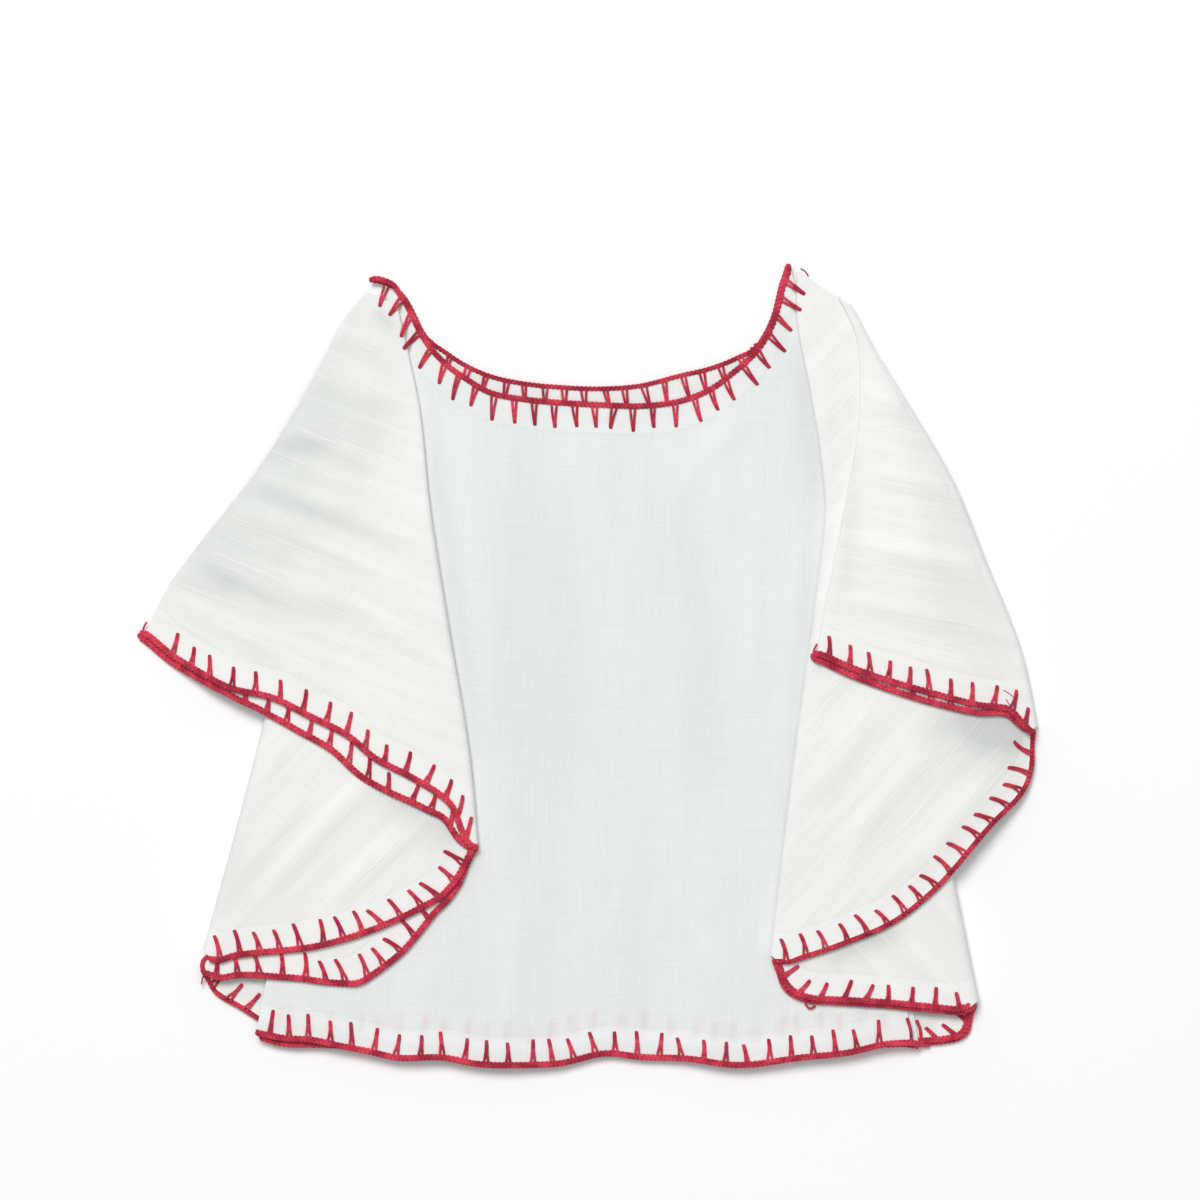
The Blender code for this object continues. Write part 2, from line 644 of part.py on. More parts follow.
def main():
    clear_scene()
    back, back_chain = panel(NECK_BACK, HEM_BACK, back_height, rise=0)
    front, front_chain = panel(NECK_FRONT, HEM_FRONT, front_height, rise=1)
    add_piece("body_back", *wall_mesh(back), GAUZE)
    add_piece("body_front", *wall_mesh(front), GAUZE)
    add_piece("neck_edging", *cord_mesh(neck_chain(), closed=True), CROCHET)
    add_piece("hem_edging_back", *cord_mesh(back_chain, closed=False), CROCHET)
    add_piece("hem_edging_front", *cord_mesh(front_chain, closed=False), CROCHET)
    for side, flaps, shoulder in (("left", LEFT_SLEEVE, LEFT_SHOULDER),
                                  ("right", RIGHT_SLEEVE, RIGHT_SHOULDER)):
        sleeve = Sleeve(side, flaps, shoulder)
        columns = sleeve.fold()
        add_piece(f"sleeve_{side}", *wall_mesh([sleeve.ring(column) for column in columns],
                                           stepped=True), GAUZE)
        add_piece(f"sleeve_{side}_edging", *cord_mesh(sleeve_chain(sleeve, columns), closed=False),
                  CROCHET)


if __name__ == "__main__":
    main()
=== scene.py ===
"""Looks of a small gauze blouse laid flat: folded cloth, crocheted edges, floor, light and camera."""

import logging
import math
from collections.abc import Callable, Sequence
from dataclasses import dataclass, field
from enum import Enum

import bpy
import numpy as np
from bpy.types import Material, Mesh, Node, NodeSocket, NodeTree, Object
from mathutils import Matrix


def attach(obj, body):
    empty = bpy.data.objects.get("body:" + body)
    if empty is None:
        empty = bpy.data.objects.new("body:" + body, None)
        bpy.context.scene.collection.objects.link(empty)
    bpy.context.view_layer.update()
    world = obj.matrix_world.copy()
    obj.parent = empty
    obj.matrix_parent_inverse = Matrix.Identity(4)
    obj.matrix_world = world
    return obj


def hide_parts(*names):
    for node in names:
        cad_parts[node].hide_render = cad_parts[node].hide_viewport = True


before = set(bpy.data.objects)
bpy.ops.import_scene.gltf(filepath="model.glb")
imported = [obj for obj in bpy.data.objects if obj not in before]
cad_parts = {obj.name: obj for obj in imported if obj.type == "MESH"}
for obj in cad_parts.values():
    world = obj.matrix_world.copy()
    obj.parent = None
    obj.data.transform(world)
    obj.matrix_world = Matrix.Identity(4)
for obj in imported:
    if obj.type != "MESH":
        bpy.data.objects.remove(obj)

log = logging.getLogger("blouse")

Array = np.ndarray
Line = Sequence[tuple[float, float]]
Heights = Callable[[Array], Array]
Colour = tuple[float, float, float, float]

MILLIMETRE = 0.001
SAMPLES = 240
OUTLINE_SAMPLES = 24
FEWEST_POINTS = 8
ROUNDING_REACH = 2.5
CREASE_PAST = 0.12
CREASE_TAPER = 0.4
CHAIN_STEP = 0.5
CHAIN_SPREAD = 1.0
OPEN_ROOM = 99.0
TINY = 1e-12
BOX_CENTRE = np.array([-2.04, 0.37, 0.0])
GRAIN = "grain"
HEM_DISTANCE = "hem_distance"
SHOW_THROUGH = "show_through"
# Attribute of the cloth's painted shade.
PAINTED_SHADE = "tone"
STRAND = "strand"
# Attribute of the yarn's painted shade.
PAINTED_YARN_SHADE = "tip"


class Layer(Enum):
    """The two layers of a sleeve that lie on each other."""

    A = "a"
    B = "b"


class Side(Enum):
    """The photo's left and right sleeve."""

    LEFT = "left"
    RIGHT = "right"


class Slot(Enum):
    """Material slots of the record."""

    GAUZE = "gauze"
    CROCHET = "crochet"


@dataclass(frozen=True)
class Sizes:
    """Driving sizes of the cloth and of its layers, in millimetres."""

    panel_wall: float = 1.0
    sleeve_wall_at_neck: float = 1.0
    sleeve_wall_at_hem: float = 2.2
    thickens_from: float = 20.0
    thickens_over: float = 100.0
    seam_gap: float = 0.3
    cord_radius: float = 1.0
    lift_margin: float = 11.0
    droop_width: float = 36.0
    body_droop_width: float = 30.0
    loose_fold: float = 0.7
    end_bend: float = 15.0
    slit: float = 0.14
    tuck: float = 0.4
    chain_proud: float = 0.3
    tip_trim: float = 2.8
    tip_reach: float = 8.0
    turn_trim: float = 1.6
    way_blend: float = 8.0
    crease_fade: float = 9.0
    crease_clear: float = 1.0
    crease_rise: float = 6.0

    @property
    def edge_inset(self) -> float:
        """Distance from a chain's middle to the edge of the solid cloth."""
        return self.cord_radius + self.seam_gap

    @property
    def cord_pitch(self) -> float:
        """Least distance between two chains that lie beside each other."""
        return 2 * self.cord_radius + self.seam_gap + 0.05


SIZES = Sizes()


@dataclass(frozen=True)
class Flap:
    """One flap of a folded sleeve, between two fold lines and a hem."""

    name: str
    first: Line
    second: Line
    hem: Line
    lip: tuple[float, ...]
    longer: Layer
    up: int
    columns: int
    grain: float
    stitch_gap: float
    stitch_length: float
    stitch_pull: float
    stitch_hook: float
    chains: int = 1

    @property
    def hides_short(self) -> bool:
        """Whether the layer on top is the longer one."""
        return (self.longer is Layer.A) == (self.up > 0)

    @property
    def on_top(self) -> Layer:
        """The layer whose outer face is seen from above."""
        return Layer.A if self.up > 0 else Layer.B

    def lips(self, shares: Array) -> Array:
        """How far the longer layer reaches past the other at shares of the hem."""
        return np.interp(shares, np.linspace(0, 1, len(self.lip)), self.lip)


@dataclass(frozen=True)
class Crease:
    """A soft ridge in the cloth, or a patch of painted shade, between two places in millimetres."""

    start: tuple[float, float]
    end: tuple[float, float]
    bow: float
    width: float
    height: float

    def lift(self, points: Array) -> Array:
        """How far the ridge raises the cloth, or how much the patch darkens it with painted shade.

        Args:
            points: Plan points, one a row.

        Returns:
            What it adds at each point.
        """
        start, end = np.asarray(self.start, float), np.asarray(self.end, float)
        span = end - start
        length = float(np.linalg.norm(span))
        along = span / length
        aside = np.array([-along[1], along[0]])
        from_start = points - start
        share = from_start @ along / length
        middle = self.bow * 4 * share * (1 - share)
        off = from_start @ aside - middle
        taper = smooth_step(np.minimum(share + CREASE_PAST, 1 + CREASE_PAST - share)
                            / CREASE_TAPER)
        return self.height * taper * np.exp(-((off / self.width) ** 2))


LEFT_TIP = [(-91, 149.5), (-100, 138), (-108, 123), (-120.5, 100), (-134.5, 78), (-157, 50),
            (-171.5, 30), (-179.3, 14)]
LEFT_INNER = [(-78.5, 144.5), (-74, 125), (-70.5, 109), (-65, 61.5), (-58, 16.5), (-49.5, -35),
              (-45.7, -75)]
LEFT_OUTER = [(-89, 141), (-131.5, -20.5), (-144.5, -70.5), (-157.5, -118)]
LEFT_HIDDEN = [(-77.5, 134), (-40, -146.5)]
RIGHT_TIP = [(97.5, 147.5), (105, 131.5), (106.5, 119), (106, 98.5), (100, 61.5), (94, 31.5),
             (89.3, 6)]
RIGHT_SILHOUETTE = [(103, 144.5), (111.5, 128), (124, 107.5), (143.5, 74.5), (157, 42),
                    (171.5, 5.5), (178.5, -28)]
RIGHT_INNER = [(81, 157.5), (81.5, 136), (86, 113), (91, 81), (92.5, 61.5), (90.5, 42),
               (86, 8), (79.5, -40.5), (73, -94), (70, -119)]
RIGHT_OUTER = [(95, 148), (144, -84), (155, -138)]
RIGHT_HIDDEN = [(82.5, 138), (64, -148)]
LEFT_TOP_FRONT = [(-179.5, 11.5), (-169, 4), (-159, -2), (-145.5, -9), (-128, -13), (-113, -20.5),
                  (-97.5, -28.5), (-87.5, -37), (-74, -44), (-59.5, -53), (-47.5, -66.5)]
LEFT_MIDDLE_BACK = [(-50.5, -84), (-58.5, -91), (-70, -97.5), (-89, -106),
                    (-109, -112), (-139.5, -115.5), (-158, -118)]
LEFT_UNDER_FRONT = [(-158.5, -126), (-154.5, -129.5), (-148, -133.5), (-141, -137),
                    (-136, -140.5), (-117.5, -146), (-40, -148)]
RIGHT_TOP_FRONT = [(88.5, 4), (96, 1.5), (114, -5), (136.5, -11.5), (154, -16), (171, -19),
                   (177.5, -24)]
RIGHT_MIDDLE = [(178.5, -33), (176, -41), (172, -50), (159, -63.5), (134.5, -91), (122, -101),
                (98.5, -111.5), (82, -117), (69, -120.5)]
RIGHT_LOWER = [(69, -123), (74, -128), (80, -131.5), (87, -134), (95.5, -134.5),
               (114.5, -135.5), (136, -137.5), (156, -139.5)]
RIGHT_UNDER = [(157, -142), (154.5, -146.5), (150, -149), (142, -151), (130, -152), (64, -149.5)]
NECK_BACK = [(-86.5, 155.9), (-79.4, 152.5), (-74.8, 147.9), (-71.2, 141.6), (-67.6, 134.1),
             (-62.3, 127.8), (-56.1, 122.9), (-41.8, 115.8), (-27.6, 112.7), (-13.4, 111.3),
             (3, 110.7), (18.2, 111.8), (34.2, 115.8), (48.4, 119.3), (58.2, 123.5), (64, 128.2),
             (67.2, 132.6), (70.5, 139.2), (72.3, 145.5), (73.7, 151.9), (76, 158.8)]
NECK_FRONT = [(-87.3, 152.4), (-80.9, 150.9), (-76.4, 146.6), (-73, 140.6), (-69.4, 133.1),
              (-64.6, 126.1), (-57.8, 119.3), (-50.7, 114.4), (-42.7, 109.6), (-27.6, 106.4),
              (-13.4, 105.1), (3, 104.2), (20.8, 103.8), (35.9, 106), (48.4, 111.3),
              (55.5, 116.7), (60.8, 121.1), (65.8, 126.2), (69.2, 131.4), (72.4, 138.2),
              (74.3, 144.8), (75.8, 151.3), (78.3, 158.2)]
HEM_FRONT = [(-135, -147), (-124, -149.2), (-112, -150), (-103, -152), (-90, -154.5),
             (-79, -157), (-60, -157), (-47, -159.5), (-26.5, -160), (-14, -159.5), (5.5, -155.5),
             (19.5, -157), (37, -157.5), (57.5, -160), (83, -157), (102, -155), (118, -151.5),
             (127.5, -151)]
HEM_RUNS_ON = ((130, -151.8, 3.2), (134.5, -151.9, 1.6))
HEM_BACK = [(-133.5, -149), (-126, -151.3), (-112, -152), (-98, -152.5), (-79, -154),
            (-26.5, -157), (5.5, -152.5), (57.5, -157), (102, -152.5), (122, -151.5),
            (130, -152.5)]
NECK_RIGHT_TIP = (78, 160.8)
NECK_LEFT_TIP = (-89.8, 154.4)
BODY_LEFT_TOP = (-77.3, 145.3)
BODY_LEFT_HEM = (-133.3, -145.5)
BODY_RIGHT_TOP = (81, 157.5)
BODY_RIGHT_HEM = (126.8, -148.5)
# How far the front's hem is lifted, by the distance from the hem.
HEM_RISE = ((0, 1), (5.5, 1), (9, 0))
SHOULDERS = {Side.LEFT: (-84, 146), Side.RIGHT: (92, 150)}

# Flaps from the floor up, each with the columns that the class Flap names.
FLAPS = {
    Side.LEFT: (
        Flap("under", LEFT_HIDDEN, LEFT_OUTER, LEFT_UNDER_FRONT, (0.5, 3, 5, 6), Layer.A, 1, 28,
             -20, 8.6, 8, 0.2, -0.5),
        Flap("middle", LEFT_OUTER, LEFT_INNER, LEFT_MIDDLE_BACK, (6.4, 8.5, 12, 19, 13, 4, 0.4),
             Layer.A, -1, 44, 46, 8.5, 9.4, 0.25, -1.5, 2),
        Flap("top", LEFT_INNER, LEFT_TIP, LEFT_TOP_FRONT, (0.4, 8, 9.5, 9, 7.5, 7, 2.5, 2.5, 2.5),
             Layer.B, 1, 52, -22, 9.6, 8.2, 1.3, -0.8, 2),
    ),
    Side.RIGHT: (
        Flap("under", RIGHT_HIDDEN, RIGHT_OUTER, RIGHT_UNDER, (0.4, 0.4), Layer.B, -1, 34,
             30, 8.6, 8.6, 0.6, -0.9),
        Flap("lower", RIGHT_OUTER, RIGHT_INNER, RIGHT_LOWER, (0.4, 0.4), Layer.B, 1, 36,
             -50, 9.3, 8.6, 0.3, -0.3),
        Flap("middle", RIGHT_INNER, RIGHT_SILHOUETTE, RIGHT_MIDDLE, (0.4, 0.4), Layer.B, -1, 46,
             49, 8.3, 8.2, 0.3, -2),
        Flap("top", RIGHT_SILHOUETTE, RIGHT_TIP, RIGHT_TOP_FRONT, (0.4, 3.2, 3.6, 3, 2.4),
             Layer.B, 1, 42, -12, 8.4, 8.2, 1.5, -0.8, 2),
    ),
}

# Ridges of each piece: start, end, bow, width and height.
CREASES = {
    "left_top": (
        Crease((-132.6, 98), (-91.4, 81.2), 1.5, 5, 1.2),
        Crease((-144.6, 81.2), (-88.6, 58), -2, 6, 1.4),
        Crease((-155.4, 66), (-80.6, 33.2), 2, 4.2, 1),
        Crease((-165.4, 48), (-105.4, 21.2), -1.5, 5, 1.3),
        Crease((-141.4, 40), (-61.4, 4), 2.5, 3.6, 0.8),
        Crease((-171.4, 26), (-121.4, 2), 1, 4, 0.9),
        Crease((-105.4, 134), (-82.6, 125.2), 0.5, 3.4, 0.7),
        Crease((-117.4, 117.2), (-77.4, 104), -1, 4, 0.9),
        Crease((-84, 130), (-112, -8), -6, 9, 1.3),
    ),
    "left_middle": (
        Crease((-132.6, -94), (-85.4, -44), 2, 4.5, 1),
        Crease((-145.4, -86), (-112, -44), -1.5, 4, 0.9),
        Crease((-105.4, -96), (-66, -62), 2, 5, 1.1),
        Crease((-139.4, -54), (-121, -30), 0.5, 3.4, 0.8),
    ),
    "left_under": (),
    "right_top": (
        Crease((102.6, 78), (146.6, 68), 1, 4, 0.9),
        Crease((105.8, 50), (162.6, 37.2), -1.5, 5, 1.1),
        Crease((102.6, 26), (162.6, 13.2), 1, 3.6, 0.8),
        Crease((108, 106), (126.6, 100.8), 0.5, 3.4, 0.7),
        Crease((106.6, 128), (134.6, 8), 5, 8, 1.2),
    ),
    "right_middle": (
        Crease((98.6, -78), (140.2, -30), 2, 4, 1),
        Crease((84.6, -54), (112.6, -16), -1.5, 4.4, 0.9),
        Crease((122.6, -86), (160.6, -42), -2, 5, 1.2),
        Crease((89.6, 128), (93, 60), 1, 3.4, 0.6),
    ),
    "right_lower": (
        Crease((124.6, -112), (144.6, -136), 0.8, 3.6, 0.8),
        Crease((100.6, -122), (112, -136), 0.5, 3, 0.6),
    ),
    "right_under": (),
    "front": (
        Crease((-49.4, 62), (-36.4, -96), 3, 9, 0.8),
        Crease((-13.4, 88), (-7.4, -44), -3, 11, 0.9),
        Crease((38.6, 80), (33.6, -98), 3.5, 10, 0.8),
        Crease((66.6, 52), (58.4, -120), -2, 6.5, 0.9),
        Crease((10.6, -60), (13.8, -150), 1, 6, 0.9),
        Crease((-30, -96), (-36, -158), 1, 5, 1),
        Crease((-101, -126), (-102, -152), 0.5, 4, 0.7),
        Crease((-66, -118), (-69, -156), -0.8, 5, 0.9),
        Crease((46, -110), (50, -158), 1, 5, 0.9),
        Crease((92, -144), (93, -156), 0.4, 4, 0.6),
        Crease((-60, 96), (-30, 40), 3, 6, 0.6),
        Crease((62, 100), (30, 60), -3, 6, 0.6),
    ),
}

# Painted shade on each piece, in patches where flap edges and folds would shade the cloth: start,
# end, bow, width and depth.
PAINTED_SHADE_DEPTH = 0.55
PAINTED_SHADE_PATCHES = {
    "left_top": (
        Crease((-96, 140), (-168, 14), 0, 34, 0.8),
        Crease((-132.6, 84), (-97.4, 90.4), 0.5, 4.5, 0.45),
        Crease((-139.8, 70.4), (-73, 46), 0.5, 3, 0.3),
        Crease((-155.4, 34.8), (-124.2, 23.6), 0, 2.4, 0.4),
        Crease((-117.4, 62), (-105.4, 50), 0, 9, 0.25),
        Crease((-162, 40), (-142, 28), 0, 8, 0.3),
        Crease((-88, 142), (-80, 134), 0.5, 2.4, 0.8),
    ),
    "left_middle": (
        Crease((-86, -44), (-50, -72), 0, 9, 1),
        Crease((-150, -100), (-150, -40), 0, 10, 0.4),
    ),
    "left_under": (
        Crease((-150, -124), (-120, -130), 0, 7, 0.6),
    ),
    "right_top": (
        Crease((118, 128), (162, 30), 2, 9, 0.5),
        Crease((104, 96), (100, 20), 0, 4, 0.4),
    ),
    "right_middle": (
        Crease((132, -16), (180, -30), -2, 14, 1),
        Crease((146, -20), (176, -28), -1, 8, 1.2),
        Crease((90, 6), (110, -4), 0, 5, 0.4),
    ),
    "right_lower": (
        Crease((90, -117), (124, -104), 0, 6, 1.3),
    ),
    "right_under": (
        Crease((140, -141), (128, -141), 0, 5, 0.8),
    ),
    "front": (
        Crease((81, 134), (90, 62), 1, 6, 1),
        Crease((89, 70), (75, -90), 0, 4, 0.6),
        Crease((-68, 110), (-46, -40), 0, 5, 0.6),
        Crease((-46, -78), (-76, -112), 0, 5, 0.6),
        Crease((-30, 96), (-20, -60), 2, 16, 0.35),
        Crease((30, 80), (46, -60), 2, 14, 0.3),
    ),
    "back": (),
}
# The thickest threads of each sleeve: the flap's place, start and end.
SLUBS = {
    Side.LEFT: ((2, (-153, 54.8), (-64.2, 17.2)), (2, (-104.2, 12.8), (-59.4, -7.2)),
                (2, (-117, 94), (-96, 86)), (2, (-166, 33), (-128, 18)),
                (2, (-97, 66), (-70, 55)), (2, (-120, 30), (-84, 15.5)),
                (1, (-122, -86), (-93, -54)), (1, (-100, -93), (-70, -62)),
                (1, (-141, -72), (-126, -55))),
    Side.RIGHT: ((3, (122.6, 21.6), (165.4, 12)), (3, (127, 12), (170, -4.4)),
                 (3, (106, 63), (146, 54)), (3, (100, 20), (121, 14)),
                 (3, (112, 96), (126, 92.5)), (2, (139.7, -25.2), (97, -76.4)),
                 (2, (104, -44), (90, -61)), (2, (158, -44), (131, -76)),
                 (1, (111.2, -104.8), (132.6, -124.8)), (1, (98, -113), (106, -122.6))),
}
# Loose ends of yarn: sleeve, flap's place, points, radius, dark share of painted shade and lift.
LOOSE_STRANDS = {
    "left_sleeve": (
        (Side.LEFT, 2, ((-178.6, 8), (-179.9, 11.6), (-180.2, 14.8), (-178.9, 17.2)), 0.45, 0.9,
         0),
        (Side.LEFT, 0, ((-155.6, -123.2), (-156.7, -125.8), (-157, -128)), 0.35, 0.6, 0),
        (Side.LEFT, 0, ((-153.2, -116.4), (-155.6, -117.6), (-156.5, -120.2), (-155.6, -123.2)),
         1.05, 0.3, 2.6),
    ),
    "right_sleeve": (
        (Side.RIGHT, 3, ((89.2, 8.6), (87.8, 5.2), (89.8, 0.8)), 0.45, 0.9, 0),
        (Side.RIGHT, 3, ((163.8, -10), (166.8, -11.8), (169.2, -15), (167.2, -16.4),
                         (164.8, -13.6)), 0.17, 0.3, 0),
        (Side.RIGHT, 0, ((84.6, -135.4), (86.6, -137.4), (88.8, -136.4)), 0.5, 0.4, 3),
        (Side.RIGHT, 0, ((131.2, -150.8), (130.8, -146), (129.4, -142.2)), 0.75, 0.9, 0),
        (Side.RIGHT, 0, ((127.2, -150.6), (126.8, -146), (125.4, -141.2)), 0.75, 0.6, 2.7),
    ),
    "neck": (
        (Side.RIGHT, 2, ((82.8, 158.6), (84.6, 157.4), (86, 155.4)), 0.35, 1, 0),
    ),
}


def smooth_step(value: Array) -> Array:
    """0 to 1 with level ends, for values from 0 to 1."""
    held = np.clip(value, 0.0, 1.0)
    return held * held * (3.0 - 2.0 * held)


def distances_along(line: Array) -> Array:
    """How far along a line each of its points lies, from 0 at its start."""
    steps = np.linalg.norm(np.diff(line, axis=0), axis=1)
    return np.concatenate([[0.0], np.cumsum(steps)])


def length_of(line: Array) -> float:
    """The whole length of a line."""
    return float(np.linalg.norm(np.diff(line, axis=0), axis=1).sum())


def resampled(curve: Array, shares: Array) -> Array:
    """Points of a line at these shares of its length.

    Args:
        curve: The line's points, one a row.
        shares: Shares of its length, 0 to 1.

    Returns:
        One point for each share.
    """
    at = distances_along(curve)
    return np.stack([np.interp(np.asarray(shares) * at[-1], at, curve[:, axis])
                     for axis in range(curve.shape[1])], axis=1)


def smooth_line(points: Line | Array, samples: int = SAMPLES) -> Array:
    """A smooth line through the points.

    Args:
        points: The points that the line passes, in plan or in space.
        samples: How many evenly spaced points come back.

    Returns:
        The line's points, one a row.
    """
    knots = np.asarray(points, float)
    if len(knots) == 2:
        return knots[0] + np.linspace(0, 1, samples)[:, None] * (knots[1] - knots[0])
    steps = np.linalg.norm(np.diff(knots, axis=0), axis=1)
    at = distances_along(knots)
    slopes = np.gradient(knots, at, axis=0)
    where = np.linspace(0, at[-1], max(4 * SAMPLES, 2 * samples))
    span = np.clip(np.searchsorted(at, where, side="right") - 1, 0, len(steps) - 1)
    length = steps[span][:, None]
    t = ((where - at[span]) / steps[span])[:, None]
    start, start_way = 2 * t**3 - 3 * t**2 + 1, t**3 - 2 * t**2 + t
    end, end_way = 3 * t**2 - 2 * t**3, t**3 - t**2
    curve = (start * knots[span] + start_way * length * slopes[span]
             + end * knots[span + 1] + end_way * length * slopes[span + 1])
    return resampled(curve, np.linspace(0, 1, samples))


def unit(vectors: Array) -> Array:
    """The vectors at length 1."""
    return vectors / np.linalg.norm(vectors, axis=-1, keepdims=True)


def sideways(curve: Array) -> Array:
    """Unit vectors in plan, to the right of the way along each point of a line."""
    along = unit(np.gradient(curve[:, :2], axis=0))
    return np.stack([along[:, 1], -along[:, 0]], axis=1)


def mixed(start: Array, end: Array, share: float | Array) -> Array:
    """What lies this share of the way from start to end."""
    return (1 - share) * start + share * end


def fitted_ends(curve: Array, start: Array, end: Array, reach: float) -> Array:
    """The line bent near its two ends so that it runs from start to end.

    Args:
        curve: The line's points, one a row.
        start: Where it has to start.
        end: Where it has to end.
        reach: How far from each end the bend goes.

    Returns:
        The bent line.
    """
    at = distances_along(curve)[:, None]
    near_start = 1 - smooth_step(at / reach)
    near_end = 1 - smooth_step((at[-1] - at) / reach)
    return curve + near_start * (start - curve[0]) + near_end * (end - curve[-1])


def rounded(path: Array, step: float, spread: float, closed: bool = False) -> Array:
    """A path evened out, with its corners rounded.

    Args:
        path: The path's points, one a row.
        step: The distance between the points that come back.
        spread: How far along the path each point is averaged.
        closed: Whether its end meets its start.

    Returns:
        The rounded path.
    """
    knots = np.vstack([path, path[:1]]) if closed else path
    count = max(FEWEST_POINTS, round(length_of(knots) / step))
    line = resampled(knots, np.linspace(0, 1, count + 1))
    reach = int(math.ceil(ROUNDING_REACH * spread / step))
    weights = np.exp(-0.5 * (np.arange(-reach, reach + 1) * step / spread) ** 2)
    weights /= weights.sum()
    if closed:
        line = line[:-1]
        padded = np.vstack([line[-reach:], line, line[:reach]])
    else:
        before = 2 * line[0] - line[1:reach + 1][::-1]
        after = 2 * line[-1] - line[-reach - 1:-1][::-1]
        padded = np.vstack([before, line, after])
    return np.stack([np.convolve(padded[:, axis], weights, mode="valid")
                     for axis in range(line.shape[1])], axis=1)


def outside_distance(points: Array, outline: Array) -> Array:
    """How far each plan point lies outside a closed outline, and 0 inside it.

    Args:
        points: Plan points, one a row.
        outline: The outline's corners in order.

    Returns:
        One distance for each point.
    """
    a, b = outline, np.roll(outline, -1, axis=0)
    edge = b - a
    from_a = points[:, None, :] - a[None]
    share = np.clip((from_a * edge).sum(-1) / np.maximum((edge**2).sum(-1), TINY), 0, 1)
    nearest = np.linalg.norm(from_a - share[..., None] * edge, axis=-1).min(axis=1)
    rises = (a[:, 1] > points[:, 1:2]) != (b[:, 1] > points[:, 1:2])
    with np.errstate(divide="ignore", invalid="ignore"):
        crossing = a[:, 0] + (points[:, 1:2] - a[:, 1]) * edge[:, 0] / edge[:, 1]
    inside = (rises & (points[:, 0:1] < crossing)).sum(axis=1) % 2 == 1
    return np.where(inside, 0.0, nearest)


def fanned_patch(hem: Array, first: Array, second: Array) -> Array:
    """Plan grid between two fold lines, each row bent like the hem in proportion to its width.

    Args:
        hem: The hem's points, one for each column.
        first: The first fold line's points, one for each row.
        second: The second fold line's points.

    Returns:
        Plan points by column and row.
    """
    span = hem[-1] - hem[0]
    turned = np.array([-span[1], span[0]])
    from_start = hem - hem[0]
    there = (from_start @ span / (span @ span))[:, None, None]
    bend = (from_start @ turned / (span @ span))[:, None, None]
    straight = np.linspace(0, 1, len(hem))[:, None, None]
    v = np.linspace(0, 1, len(first))[None, :, None]
    across = (second - first)[None]
    across_turned = np.stack([-across[..., 1], across[..., 0]], axis=-1)
    return first[None] + across * mixed(straight, there, v) + across_turned * bend * v


